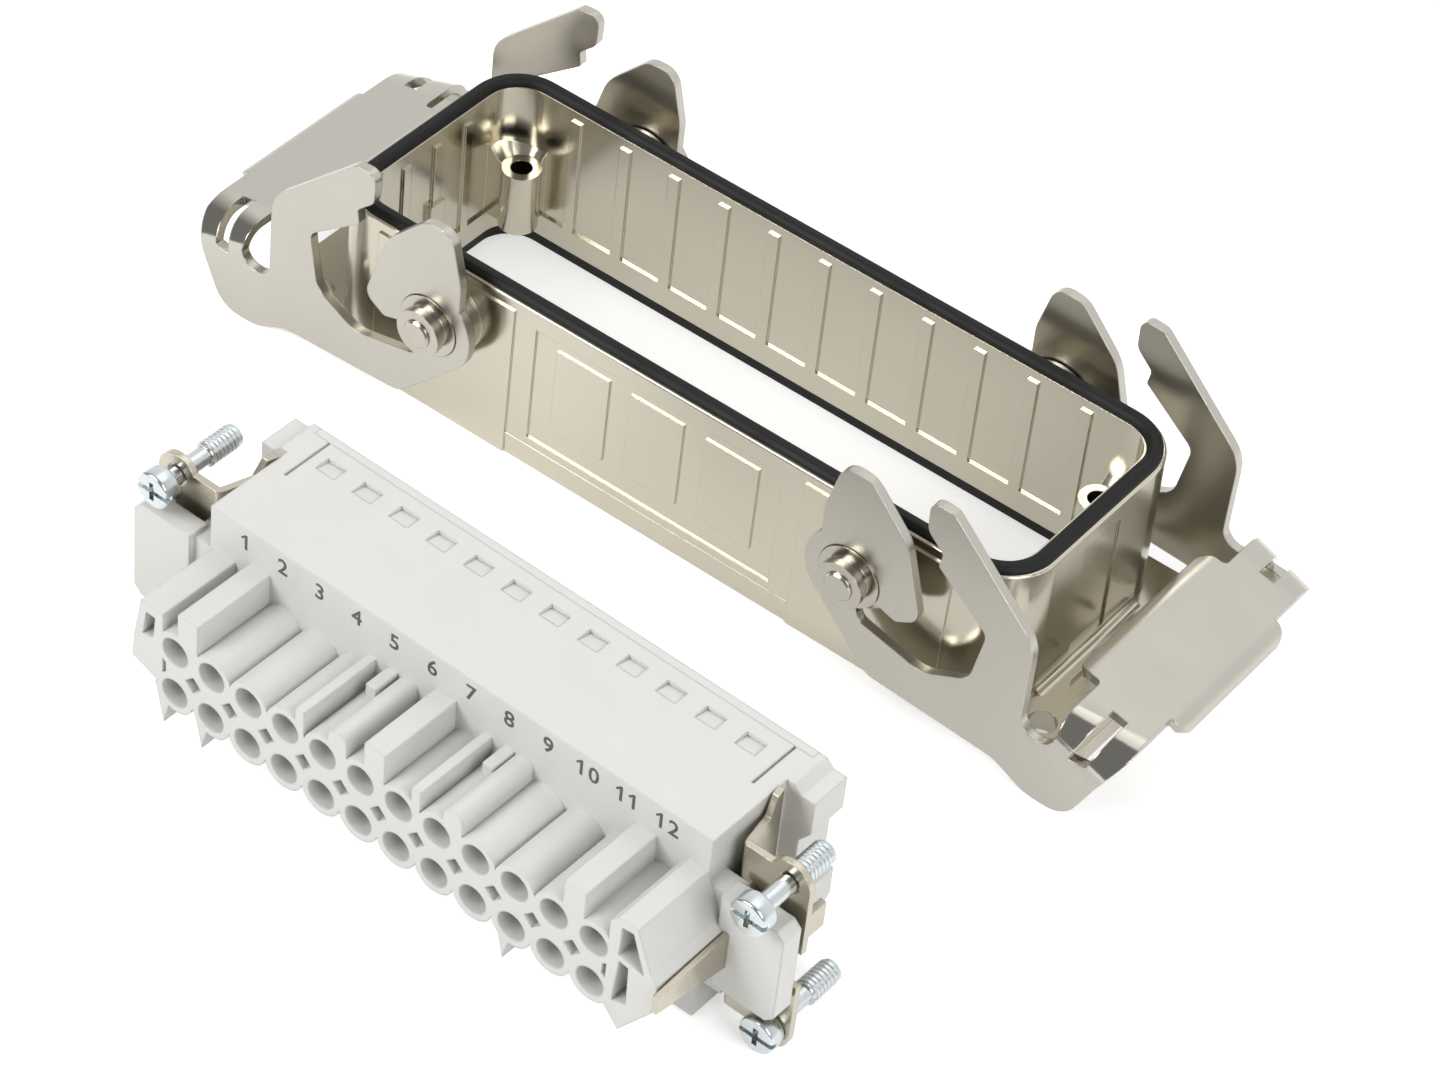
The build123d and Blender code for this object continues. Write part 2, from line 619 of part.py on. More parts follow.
def placed(solid):
    """Lay a piece of the insert in its place beside the housing."""
    return Pos(INSERT_X, INSERT_Y, INSERT_LIES_AT) * Rot(0, 0, INSERT_TURN) * solid


def both_ends(solid):
    """A piece at the insert's right end and its mirror image at the left."""
    return Part() + solid + mirror(solid, about=Plane.YZ)


def at_body_end(side, corners):
    """An outline given from the insert body's right or left end."""
    return make_face(Polyline([(side * (BODY_HALF_LENGTH + x), z) for x, z in corners], close=True))


def mating_block():
    """The front of the insert: two rows of socket tubes, keys, ribs and end lugs."""
    half = (POLES - 1) / 2 * POLE_PITCH + TUBE_D / 2
    section = Rectangle(2 * half - TUBE_D / 2, 2 * ROW_Z)
    for x in POLE_X:
        for z in (-ROW_Z, ROW_Z):
            section += Pos(x, z) * Circle(TUBE_D / 2)
    for x in KEY_X:
        section += Pos(x, KEY_TOP / 2) * Rectangle(KEY_WIDTH, KEY_TOP)
    for x in THIN_RIB_X:
        section += Pos(x, THIN_RIB_TOP / 2) * Rectangle(THIN_RIB_WIDTH, THIN_RIB_TOP)
    for x in ROUND_RIB_X:
        section += Pos(x, ROUND_RIB_Z) * Circle(ROUND_RIB_R)
        section += Pos(x, ROUND_RIB_Z / 2) * Rectangle(2 * ROUND_RIB_R, ROUND_RIB_Z)
    for x in TOOTH_X:
        tooth = Polyline((x - TOOTH_WIDTH, -ROW_Z), (x + TOOTH_WIDTH, -ROW_Z), (x, TOOTH_BOTTOM), close=True)
        section += make_face(tooth)
    section += at_body_end(1, RIGHT_LUG)
    section += at_body_end(-1, LEFT_LUG)
    solid = along_y(section, 0, MATING_DEPTH)
    for x in THIN_RIB_X:
        low = x + TAB_OFFSET - TAB_WIDTH / 2
        solid += block(low, low + TAB_WIDTH, TAB_START_Y, MATING_DEPTH, 0, TAB_TOP)
    hollows = Sketch()
    for x in POLE_X[:-1]:
        hollows += Pos(x + POLE_PITCH / 2, 0) * Rectangle(DIAMOND, DIAMOND, rotation=45)
    for side, lug_hollows in ((1, RIGHT_LUG_HOLLOWS), (-1, LEFT_LUG_HOLLOWS)):
        for corners in lug_hollows:
            hollows += at_body_end(side, corners)
    return solid - along_y(hollows, -PAST, MATING_DEPTH - MATING_FLOOR)


def end_block():
    """The block behind the right bracket, flush with the rear cover, narrowed where the screws pass."""
    wall = BODY_HALF_LENGTH
    top = BODY_HALF_HEIGHT
    reach = wall + END_BLOCK_REACH
    waist = wall + END_BLOCK_WAIST_REACH
    step = END_BLOCK_SHOULDER
    outline = Polyline(
        (wall, top),
        (wall + step, top),
        (wall + 2 * step, top - step),
        (reach, top - step),
        (reach, END_BLOCK_NECK_TOP + 2 * step),
        (waist, END_BLOCK_NECK_TOP),
        (waist, END_BLOCK_NECK_BOTTOM),
        (reach, END_BLOCK_NECK_BOTTOM),
        (reach, END_BLOCK_NECK_BOTTOM - 4 * step),
        (waist, -top + 3 * step),
        (waist, -top + step),
        (wall, -top + step),
        close=True,
    )
    return along_y(make_face(outline), END_BLOCK_START_Y, COVER_END_Y)


def contact_carrier():
    """The insert's moulded body, hollowed for its contacts and clamps, with label plates at the ends."""
    body = block(
        -BODY_HALF_LENGTH, BODY_HALF_LENGTH, MATING_DEPTH, BODY_END_Y, -BODY_HALF_HEIGHT, BODY_HALF_HEIGHT
    )
    wing = block(
        BODY_HALF_LENGTH - PAST, WING_HALF_LENGTH, MATING_DEPTH, BRACKET_START_Y, -WING_TOP, WING_TOP
    )
    label = block(
        WING_HALF_LENGTH - PAST, LABEL_HALF_LENGTH, LABEL_START_Y, LABEL_START_Y + LABEL_THICKNESS,
        LABEL_BOTTOM, LABEL_TOP,
    )
    label = chamfer(label.edges().filter_by(Axis.Y).sort_by(Axis.X)[-2:], LABEL_CHAMFER)
    solid = body + both_ends(wing + label + end_block()) + mating_block()
    solid -= block(
        0, WING_HALF_LENGTH + BLADE_THICKNESS, LABEL_START_Y - PAST, BRACKET_START_Y, BLADE_BOTTOM, BLADE_TOP
    ) & block(WING_HALF_LENGTH, FULL, 0, FULL, -FULL, FULL)
    for x in POLE_X:
        for z in (-ROW_Z, ROW_Z):
            solid -= Pos(x, BODY_END_Y / 2, z) * Rot(90, 0, 0) * Cylinder(SOCKET_D / 2, BODY_END_Y)
        half = CHAMBER_WIDTH / 2
        room = block(x - half, x + half, CHAMBER_START_Y, BODY_END_Y, CHAMBER_LOW_Z, CHAMBER_HIGH_Z)
        solid -= [room, mirror(room, about=Plane.XY)]
        low = x + WINDOW_SHIFT - WINDOW_WIDTH / 2
        solid -= block(
            low, low + WINDOW_WIDTH, WINDOW_START_Y, WINDOW_START_Y + WINDOW_LENGTH,
            BODY_HALF_HEIGHT - WINDOW_DEPTH, FULL,
        )
    slot_x = BODY_HALF_LENGTH - END_SLOT_INSET
    slot = block(
        slot_x, slot_x + END_SLOT_WIDTH, END_SLOT_START_Y, BODY_END_Y, BODY_HALF_HEIGHT - END_SLOT_DEPTH, FULL
    )
    return solid - both_ends(slot)


def rear_cover():
    """The plate behind the clamps, with a wire entry and a release slot for each contact."""
    plate = block(
        -BODY_HALF_LENGTH, BODY_HALF_LENGTH, BODY_END_Y, COVER_END_Y, -BODY_HALF_HEIGHT, BODY_HALF_HEIGHT
    )
    openings = Sketch()
    for x in POLE_X:
        for side in (-1, 1):
            openings += Pos(x, side * ENTRY_Z) * RegularPolygon(ENTRY_R, ENTRY_SIDES, major_radius=False)
            openings += Pos(x, side * RELEASE_Z) * Rectangle(RELEASE_WIDTH, RELEASE_HEIGHT)
    return plate - along_y(openings, BODY_END_Y - PAST, COVER_END_Y + PAST)


def socket_contacts(side):
    """One row of stamped box contacts, each with a flat tail under its clamp."""
    row = []
    for x in POLE_X:
        box = Rectangle(CONTACT_WIDTH, CONTACT_WIDTH)
        bore = Rectangle(CONTACT_BORE_WIDTH, CONTACT_BORE_WIDTH)
        contact = along_y(box, CONTACT_START_Y, CHAMBER_START_Y)
        contact -= along_y(bore, CONTACT_START_Y, CONTACT_START_Y + CONTACT_BORE_DEPTH)
        contact = Pos(x, 0, side * ROW_Z) * contact
        half = CONTACT_TAIL_WIDTH / 2
        low = side * ROW_Z - CONTACT_TAIL_THICKNESS / 2
        contact += block(
            x - half, x + half, CHAMBER_START_Y - PAST, CONTACT_TAIL_END_Y, low, low + CONTACT_TAIL_THICKNESS
        )
        row.append(contact)
    return row


def wire_clamps(side):
    """One row of bent leaf springs that press each wire on to its contact's tail."""
    thick = CLAMP_THICKNESS
    seat = ROW_Z + CONTACT_TAIL_THICKNESS / 2
    foot = CONTACT_TAIL_END_Y - CLAMP_FOOT_INSET
    tip = CONTACT_TAIL_END_Y - CLAMP_TIP_INSET
    front = CHAMBER_START_Y + CLAMP_GAP
    top = CHAMBER_HIGH_Z - CLAMP_GAP
    path = [
        (foot, seat),
        (front, seat),
        (front, top),
        (front + CLAMP_CROWN, top),
        (tip, seat + CLAMP_TIP_LIFT),
        (tip - thick, seat + CLAMP_TIP_LIFT - thick),
        (front + CLAMP_CROWN - thick, top - thick),
        (front + thick, top - thick),
        (front + thick, seat + thick),
        (foot, seat + thick),
    ]
    profile = make_face(Polyline(path, close=True))
    row = []
    for x in POLE_X:
        spring = extrude(Plane.YZ.offset(x - CLAMP_WIDTH / 2) * profile, CLAMP_WIDTH)
        if side < 0:
            spring = mirror(spring, about=Plane.XY)
        row.append(spring)
    return row


def earth_bracket():
    """The right end's nickel sheet: a plate with a lobe round each screw, a hook and a folded leaf."""
    top = BRACKET_SHOULDER_Z
    waist = BRACKET_EDGE_X - BRACKET_WAIST_DEPTH
    outline = make_face(
        Polyline(
            (BRACKET_FOLD_X, -top),
            (BRACKET_FOLD_X, top),
            (INSERT_SCREW_X, top),
            (INSERT_SCREW_X, INSERT_SCREW_Z),
            (BRACKET_EDGE_X, INSERT_SCREW_Z),
            (BRACKET_EDGE_X, BRACKET_WAIST_TOP),
            (waist, BRACKET_WAIST_TOP),
            (waist, BRACKET_WAIST_BOTTOM),
            (BRACKET_EDGE_X, BRACKET_WAIST_BOTTOM),
            (BRACKET_EDGE_X, -INSERT_SCREW_Z),
            (INSERT_SCREW_X, -INSERT_SCREW_Z),
            (INSERT_SCREW_X, -top),
            close=True,
        )
    )
    for side in (-1, 1):
        outline += Pos(INSERT_SCREW_X, side * INSERT_SCREW_Z) * Circle(BRACKET_LOBE_R)
        outline -= Pos(INSERT_SCREW_X, side * INSERT_SCREW_Z) * Circle(BRACKET_HOLE_D / 2)
    plate = along_y(outline, BRACKET_START_Y, BRACKET_END_Y)
    plate += earth_leaf()
    fold = plate.edges().filter_by(Axis.Z).sort_by(lambda e: e.center().X + e.center().Y)[0]
    plate = fillet(fold, BRACKET_FOLD_R)
    return plate + block(
        BRACKET_EDGE_X - BRACKET_THICKNESS, BRACKET_EDGE_X, BRACKET_START_Y, BRACKET_END_Y + HOOK_LENGTH,
        HOOK_BOTTOM, HOOK_TOP,
    )


def earth_leaf():
    """The bracket's leaf, leaning back to touch the body's end wall, with a tab at each rear corner."""
    rear = BRACKET_START_Y + LEAF_LENGTH
    wall = BODY_HALF_LENGTH
    thick = BRACKET_THICKNESS
    plan = Polyline(
        (BRACKET_FOLD_X, BRACKET_START_Y),
        (BRACKET_FOLD_X + thick, BRACKET_START_Y),
        (wall + thick, rear),
        (wall, rear),
        close=True,
    )
    leaf = slab(make_face(plan), -LEAF_TAB_TOP, LEAF_TAB_TOP)
    tab = rear - LEAF_TAB_LENGTH
    side = Polyline(
        (BRACKET_START_Y, BRACKET_SHOULDER_Z),
        (tab - LEAF_TAB_LENGTH, LEAF_TOP),
        (tab, LEAF_TAB_TOP),
        (rear, LEAF_TAB_TOP),
        (rear, -LEAF_TAB_TOP),
        (tab, -LEAF_TAB_TOP),
        (tab - LEAF_TAB_LENGTH, -LEAF_TOP),
        (BRACKET_START_Y, -BRACKET_SHOULDER_Z),
        close=True,
    )
    return leaf & extrude(Plane.YZ.offset(wall) * make_face(side), 2 * BRACKET_FOLD_REACH)


def earth_blade():
    """The right end's blade: from the bracket, through the label plate, forward beside the tubes."""
    outline = Polyline(
        (BLADE_TIP_Y, BLADE_BOTTOM + 2 * BLADE_TAPER),
        (BLADE_TIP_Y, BLADE_TOP - BLADE_TAPER / 2),
        (LABEL_START_Y, BLADE_TOP),
        (BRACKET_START_Y, BLADE_TOP),
        (BRACKET_START_Y, BLADE_BOTTOM),
        (LABEL_START_Y, BLADE_BOTTOM),
        close=True,
    )
    return extrude(Plane.YZ.offset(WING_HALF_LENGTH) * make_face(outline), BLADE_THICKNESS)


def fixing_screw(drawn):
    """A captive screw: slotted cross head, slim neck, thread; drawn is how far it is pulled forward."""
    up = (Align.CENTER, Align.CENTER, Align.MIN)
    screw = Cylinder(SCREW_HEAD_D / 2, SCREW_HEAD_HEIGHT, align=up)
    screw -= Box(2 * SCREW_HEAD_D, SCREW_SLOT, 2 * SCREW_SLOT_DEPTH)
    screw -= Box(SCREW_SLOT, 2 * SCREW_CROSS_REACH, 2 * SCREW_CROSS_DEPTH)
    neck_end = SCREW_HEAD_HEIGHT + SCREW_NECK_LENGTH
    end = SCREW_HEAD_HEIGHT + SCREW_LENGTH
    screw += Pos(0, 0, SCREW_HEAD_HEIGHT) * Cylinder(SCREW_NECK_D / 2, SCREW_NECK_LENGTH, align=up)
    thread = Cylinder(SCREW_D / 2, end - neck_end, align=up)
    thread = chamfer(thread.edges().group_by(Axis.Z)[-1], SCREW_POINT)
    screw += Pos(0, 0, neck_end) * thread
    return Pos(0, BRACKET_START_Y - SCREW_HEAD_HEIGHT - drawn, 0) * Rot(-90, 0, 0) * screw


def write(name, solids):
    """Save one node."""
    shape = Compound(children=list(solids)) if isinstance(solids, list) else solids
    shape.label = name
    export_step(shape, f"parts/{name}.step")


os.makedirs("parts", exist_ok=True)

write("housing_shell", housing_shell())
write("rim_gasket", rim_gasket())
write("panel_gasket", panel_gasket())

for end, x in (("left", -PIVOT_X), ("right", PIVOT_X)):
    for place, side in (("front", -1), ("rear", 1)):
        write(f"pivot_pin_{end}_{place}", on_pivot(x, side, pivot_pin()))
        write(f"pivot_bush_{end}_{place}", on_pivot(x, side, pivot_bush()))

lever = right_lever()
write("right_lever", lever)
write("left_lever", mirror(lever, about=Plane.YZ))

write("contact_carrier", placed(contact_carrier()))
write("rear_cover", placed(rear_cover()))
for row, side in (("upper", 1), ("lower", -1)):
    write(f"{row}_contacts", [placed(contact) for contact in socket_contacts(side)])
    write(f"{row}_wire_clamps", [placed(spring) for spring in wire_clamps(side)])

bracket = earth_bracket()
blade = earth_blade()
write("right_earth_bracket", placed(bracket))
write("left_earth_bracket", placed(mirror(bracket, about=Plane.YZ)))
write("right_earth_blade", placed(blade))

screws = {
    "upper_right_screw": (INSERT_SCREW_X, INSERT_SCREW_Z, UPPER_RIGHT_DRAWN),
    "lower_right_screw": (INSERT_SCREW_X, -INSERT_SCREW_Z, 0.0),
    "upper_left_screw": (-INSERT_SCREW_X, INSERT_SCREW_Z, UPPER_LEFT_DRAWN),
    "lower_left_screw": (-INSERT_SCREW_X, -INSERT_SCREW_Z, 0.0),
}
for name, (x, z, drawn) in screws.items():
    write(name, placed(Pos(x, 0, z) * fixing_screw(drawn)))
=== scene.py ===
"""Looks of a bulkhead rectangular connector.

A nickel housing with two locking levers, and the contact insert that lies beside it.
"""

import math

import bpy
from mathutils import Matrix, Vector


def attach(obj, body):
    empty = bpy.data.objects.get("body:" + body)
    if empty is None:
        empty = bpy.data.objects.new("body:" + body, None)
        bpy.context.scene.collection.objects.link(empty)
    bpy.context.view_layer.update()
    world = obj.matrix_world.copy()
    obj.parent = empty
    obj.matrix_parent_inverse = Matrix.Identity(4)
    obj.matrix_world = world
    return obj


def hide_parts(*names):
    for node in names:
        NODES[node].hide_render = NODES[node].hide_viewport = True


bl_info = {
    "name": "Rectangular Connector",
    "version": (1, 0, 0),
    "blender": (4, 5, 0),
    "location": "3D View > Sidebar > Connector",
    "description": "Finishes, screws, numbers, marking windows and studio for a rectangular connector",
    "category": "Object",
}

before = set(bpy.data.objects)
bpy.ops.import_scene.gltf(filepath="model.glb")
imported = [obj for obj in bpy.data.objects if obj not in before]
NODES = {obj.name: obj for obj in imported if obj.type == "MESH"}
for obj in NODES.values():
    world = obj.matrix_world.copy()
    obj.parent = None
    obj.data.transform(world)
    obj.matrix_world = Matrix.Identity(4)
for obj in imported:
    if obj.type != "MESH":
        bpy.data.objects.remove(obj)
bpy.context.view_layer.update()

MM = 0.001
ROOT_BODY = "housing"
POLES = 12

# The insert's own frame: x along it, y from the mating face to the wires, z up as it lies
INSERT_CENTRE = (17.24 * MM, -99.23 * MM, 17.0 * MM)
INSERT_TURN = math.radians(-1.6)
INSERT_PLACE = Matrix.Translation(INSERT_CENTRE) @ Matrix.Rotation(INSERT_TURN, 4, "Z")

# Each captive screw's x and z on the insert, and how far it is drawn forward out of its bracket.
# The brackets' front faces lie BRACKET_Y behind the mating face.
SCREW_X = 52.0 * MM
SCREW_Z = 13.5 * MM
BRACKET_Y = 17.0 * MM
SCREWS = {
    "upper_right_screw": (SCREW_X, SCREW_Z, 5.6 * MM),
    "lower_right_screw": (SCREW_X, -SCREW_Z, 0.0),
    "upper_left_screw": (-SCREW_X, SCREW_Z, 2.0 * MM),
    "lower_left_screw": (-SCREW_X, -SCREW_Z, 0.0),
}

# Screw: rounding of the head and the point, slot, cross, and where in the head the neck starts, as a
# share of the head's height
HEAD_ROUND = 0.45 * MM
SLOT_DEPTH = 1.0 * MM
CROSS_LENGTH = 3.0 * MM
CROSS_DEPTH = 1.6 * MM
POINT_ROUND = 0.3 * MM
NECK_START = 0.8

# Thread: the radius of its triangular ridge as a share of the pitch, and as shares of that radius
# how far the ridge stands out of the core and how much shorter it is than the threaded part
RIDGE_SHARE = 0.5
RIDGE_HEIGHT = 0.8
RUN_OUT = 3
STEPS_PER_TURN = 28
SMOOTH_ANGLE = math.radians(32)

# Digits: how far the outline is thickened, and the rest as shares of the type's height
STROKE = 0.06 * MM
DIGIT_SPACING = 0.57

# The flag that gives the 1 its upstroke, as shares of the type's height, and 1.6 strokes thick
FLAG_LENGTH = 0.24
FLAG_WIDTH = 0.09
FLAG_THICKNESS = 1.6
FLAG_LEFT = 0.06
FLAG_DROP = 0.14
FLAG_TURN = math.radians(38)

# Marking windows: play round a floor, and each side's share of its fall
WINDOW_GAP = 0.005 * MM
LEFT_SHARE = 0.25
REAR_SHARE = 0.75

# Noise: the middle range that spread() stretches, and the size of the clouds in plastic and floor
NOISE_LOW = 0.3
NOISE_HIGH = 0.7
PLASTIC_CLOUDS = 140.0
FLOOR_CLOUDS = 6.0

# How softly a polished bend begins, the samples of a softened edge, and the turning marks' relief
BEND_FADE = 2.0 * MM
EDGE_SAMPLES = 6
RING_STRENGTH = 0.12
RING_DEPTH = 0.02 * MM

# What the lamps shine at, and each lamp's place, size in metres and power in watts
AIM = (0.01, -0.04, 0.01)
LAMPS = {
    "key": ((-0.5, -0.85, 0.7), (0.7, 0.5), 10.0),
    "fill": ((0.8, -0.3, 0.6), (0.5, 0.5), 4.5),
    "top": ((0.05, 0.35, 1.1), (0.9, 0.6), 1.5),
}

# Sky: its brightness in front and behind, and the share of the way back where it is brightest
SKY_FRONT = 0.28
SKY_BACK = 1.1
SKY_BACK_START = 0.55

# Floor: its paint, and the light it adds where the camera or a reflection sees it
FLOOR_RADIUS = 3.0
FLOOR_LEVEL = -0.02 * MM
FLOOR_TONE = (0.79, 0.81)
FLOOR_ROUGHNESS = 0.9
FLOOR_SEEN = 0.45
FLOOR_MIRRORED = 0.4


class FinishSettings(bpy.types.PropertyGroup):
    """Colours of the finishes."""

    casting: bpy.props.FloatVectorProperty(
        name="Casting", description="Nickel plate on the cast housing", subtype="COLOR", size=3,
        default=(0.56, 0.525, 0.435), min=0, max=1,
    )
    lever: bpy.props.FloatVectorProperty(
        name="Levers", description="Nickel plate on the bent sheet levers", subtype="COLOR", size=3,
        default=(0.50, 0.48, 0.43), min=0, max=1,
    )
    moulding: bpy.props.FloatVectorProperty(
        name="Insert", description="Plastic of the contact insert", subtype="COLOR", size=3,
        default=(0.62, 0.617, 0.59), min=0, max=1,
    )
    rubber: bpy.props.FloatVectorProperty(
        name="Gaskets", description="Rubber of the two gaskets", subtype="COLOR", size=3,
        default=(0.006, 0.0065, 0.006), min=0, max=1,
    )
    zinc: bpy.props.FloatVectorProperty(
        name="Screws", description="Bluish zinc plate on the fixing screws", subtype="COLOR", size=3,
        default=(0.62, 0.66, 0.67), min=0, max=1,
    )


class ScrewSettings(bpy.types.PropertyGroup):
    """The captive screws that hold the insert."""

    head: bpy.props.FloatProperty(
        name="Head", description="Diameter of the head", unit="LENGTH", default=5.6 * MM, min=0.001,
    )
    head_height: bpy.props.FloatProperty(
        name="Head Height", description="Height of the head", unit="LENGTH", default=2.8 * MM, min=0.001,
    )
    slot_width: bpy.props.FloatProperty(
        name="Slot", description="Width of the slot and of the cross", unit="LENGTH", default=0.8 * MM,
    )
    neck: bpy.props.FloatProperty(
        name="Neck", description="Diameter of the slim neck", unit="LENGTH", default=2.8 * MM, min=0.001,
    )
    neck_length: bpy.props.FloatProperty(
        name="Neck Length", description="From the head to the thread", unit="LENGTH", default=7.1 * MM,
    )
    thread: bpy.props.FloatProperty(
        name="Thread", description="Outer diameter of the thread", unit="LENGTH", default=4.0 * MM,
        min=0.001,
    )
    pitch: bpy.props.FloatProperty(
        name="Pitch", description="Pitch of the thread", unit="LENGTH", default=0.7 * MM, min=0.0001,
    )
    length: bpy.props.FloatProperty(
        name="Length", description="From under the head to the point", unit="LENGTH", default=13.0 * MM,
    )


class NumberSettings(bpy.types.PropertyGroup):
    """The contact numbers printed along the insert."""

    height: bpy.props.FloatProperty(
        name="Height", description="Height of the type", unit="LENGTH", default=3.6 * MM, min=0.0005,
    )
    first: bpy.props.FloatProperty(
        name="First", description="Place of number 1 along the insert", unit="LENGTH", default=-36.2 * MM,
    )
    pitch: bpy.props.FloatProperty(
        name="Pitch", description="From one number to the next", unit="LENGTH", default=6.5 * MM,
    )
    level: bpy.props.FloatProperty(
        name="Level", description="Height of the numbers above the insert's middle", unit="LENGTH",
        default=13.9 * MM,
    )
    wall: bpy.props.FloatProperty(
        name="Wall", description="Place of the printed wall behind the mating face", unit="LENGTH",
        default=13.5 * MM,
    )


class WindowSettings(bpy.types.PropertyGroup):
    """The sloped floors of the marking windows on the insert's top."""

    width: bpy.props.FloatProperty(
        name="Width", description="Width of a window", unit="LENGTH", default=3.3 * MM, min=0.0005,
    )
    length: bpy.props.FloatProperty(
        name="Length", description="Length of a window from front to rear", unit="LENGTH", default=2.6 * MM,
        min=0.0005,
    )
    start: bpy.props.FloatProperty(
        name="Start", description="Front edge of the windows behind the mating face", unit="LENGTH",
        default=28.3 * MM,
    )
    shift: bpy.props.FloatProperty(
        name="Shift", description="From a contact's middle to its window's middle", unit="LENGTH",
        default=-0.4 * MM,
    )
    top: bpy.props.FloatProperty(
        name="Top", description="Height of the insert's top above its middle", unit="LENGTH",
        default=16.5 * MM,
    )
    depth: bpy.props.FloatProperty(
        name="Depth", description="Depth of a window", unit="LENGTH", default=0.7 * MM, min=0.0001,
    )
    fall: bpy.props.FloatProperty(
        name="Fall", description="How deep the floor lies at its lowest corner", unit="LENGTH",
        default=0.6 * MM, min=0.0001,
    )


class StageSettings(bpy.types.PropertyGroup):
    """Camera and light."""

    azimuth: bpy.props.FloatProperty(
        name="Azimuth", description="Camera's turn round the connector", subtype="ANGLE",
        default=math.radians(32.96),
    )
    elevation: bpy.props.FloatProperty(
        name="Elevation", description="Camera's angle above the floor", subtype="ANGLE",
        default=math.radians(43.61),
    )
    roll: bpy.props.FloatProperty(
        name="Roll", description="Camera's turn about its own line of sight", subtype="ANGLE",
        default=math.radians(6.93),
    )
    distance: bpy.props.FloatProperty(
        name="Distance", description="From the camera to the plane through the housing's middle",
        unit="LENGTH", default=0.6759, min=0.05,
    )
    aside: bpy.props.FloatVectorProperty(
        name="Aside", description="Camera's steps to its right and upwards", unit="LENGTH", size=2,
        default=(-1.99 * MM, -11.63 * MM),
    )
    lens: bpy.props.FloatProperty(
        name="Lens", description="Focal length in millimetres on a 36 mm wide sensor",
        default=117.39, min=10,
    )


def deselect():
    """Leaves edit mode and selects nothing."""
    if bpy.context.object and bpy.context.object.mode != "OBJECT":
        bpy.ops.object.mode_set(mode="OBJECT")
    bpy.ops.object.select_all(action="DESELECT")


def group_of(name, inputs, outputs):
    """An empty node group with these sockets, and its input and output nodes."""
    group = bpy.data.node_groups.new(name, "ShaderNodeTree")
    for label, kind, default in inputs:
        socket = group.interface.new_socket(label, in_out="INPUT", socket_type=kind)
        socket.default_value = default
    for label, kind in outputs:
        group.interface.new_socket(label, in_out="OUTPUT", socket_type=kind)
    return group, group.nodes.new("NodeGroupInput"), group.nodes.new("NodeGroupOutput")


def noise(tree, vector, scale, detail=4.0, roughness=0.55):
    """A noise texture; scale is a number or a socket."""
    node = tree.nodes.new("ShaderNodeTexNoise")
    node.inputs["Detail"].default_value = detail
    node.inputs["Roughness"].default_value = roughness
    tree.links.new(vector, node.inputs["Vector"])
    if isinstance(scale, (int, float)):
        node.inputs["Scale"].default_value = scale
    else:
        tree.links.new(scale, node.inputs["Scale"])
    return node.outputs["Fac"]


def spread(tree, value, low, high):
    """Stretches a noise's middle range to run from low to high; both are numbers or sockets."""
    node = tree.nodes.new("ShaderNodeMapRange")
    node.inputs["From Min"].default_value = NOISE_LOW
    node.inputs["From Max"].default_value = NOISE_HIGH
    tree.links.new(value, node.inputs["Value"])
    for socket, end in (("To Min", low), ("To Max", high)):
        if isinstance(end, (int, float)):
            node.inputs[socket].default_value = end
        else:
            tree.links.new(end, node.inputs[socket])
    return node.outputs["Result"]


def maths(tree, operation, first, second=None):
    """A maths node; first is a socket, second a number or a socket."""
    node = tree.nodes.new("ShaderNodeMath")
    node.operation = operation
    tree.links.new(first, node.inputs[0])
    if isinstance(second, (int, float)):
        node.inputs[1].default_value = second
    elif second is not None:
        tree.links.new(second, node.inputs[1])
    return node.outputs[0]


def coordinates(tree):
    """The X, Y and Z of the point on the piece."""
    split = tree.nodes.new("ShaderNodeSeparateXYZ")
    tree.links.new(tree.nodes.new("ShaderNodeTexCoord").outputs["Object"], split.inputs[0])
    return split.outputs


def shaded_colour(group, given, made, pattern):
    """Darkens the group's colour by its tone spread where the pattern is low."""
    shaded = group.nodes.new("ShaderNodeHueSaturation")
    group.links.new(given.outputs["Colour"], shaded.inputs["Color"])
    drop = group.nodes.new("ShaderNodeMath")
    drop.operation = "SUBTRACT"
    drop.inputs[0].default_value = 1.0
    group.links.new(given.outputs["Tone Spread"], drop.inputs[1])
    group.links.new(spread(group, pattern, drop.outputs[0], 1.0), shaded.inputs["Value"])
    group.links.new(shaded.outputs["Color"], made.inputs["Colour"])


def uneven_gloss(group, given, made, pattern):
    """Lets the group's roughness follow the pattern between its two gloss values."""
    gloss = spread(group, pattern, given.outputs["Gloss Low"], given.outputs["Gloss High"])
    group.links.new(gloss, made.inputs["Roughness"])


SURFACE_OUTPUTS = [
    ("Colour", "NodeSocketColor"), ("Roughness", "NodeSocketFloat"), ("Height", "NodeSocketFloat"),
]


def plated_surface():
    """Gentle tone, gloss and waviness of plated metal, all from one smooth noise."""
    group, given, made = group_of(
        "plated_surface",
        [
            ("Colour", "NodeSocketColor", (0.7, 0.65, 0.55, 1)),
            ("Tone Spread", "NodeSocketFloat", 0.05),
            ("Patch Scale", "NodeSocketFloat", 90.0),
            ("Gloss Low", "NodeSocketFloat", 0.25),
            ("Gloss High", "NodeSocketFloat", 0.32),
        ],
        SURFACE_OUTPUTS,
    )
    place = group.nodes.new("ShaderNodeTexCoord").outputs["Object"]
    patches = noise(group, place, given.outputs["Patch Scale"], 1.5)
    shaded_colour(group, given, made, patches)
    uneven_gloss(group, given, made, patches)
    group.links.new(patches, made.inputs["Height"])
    return group


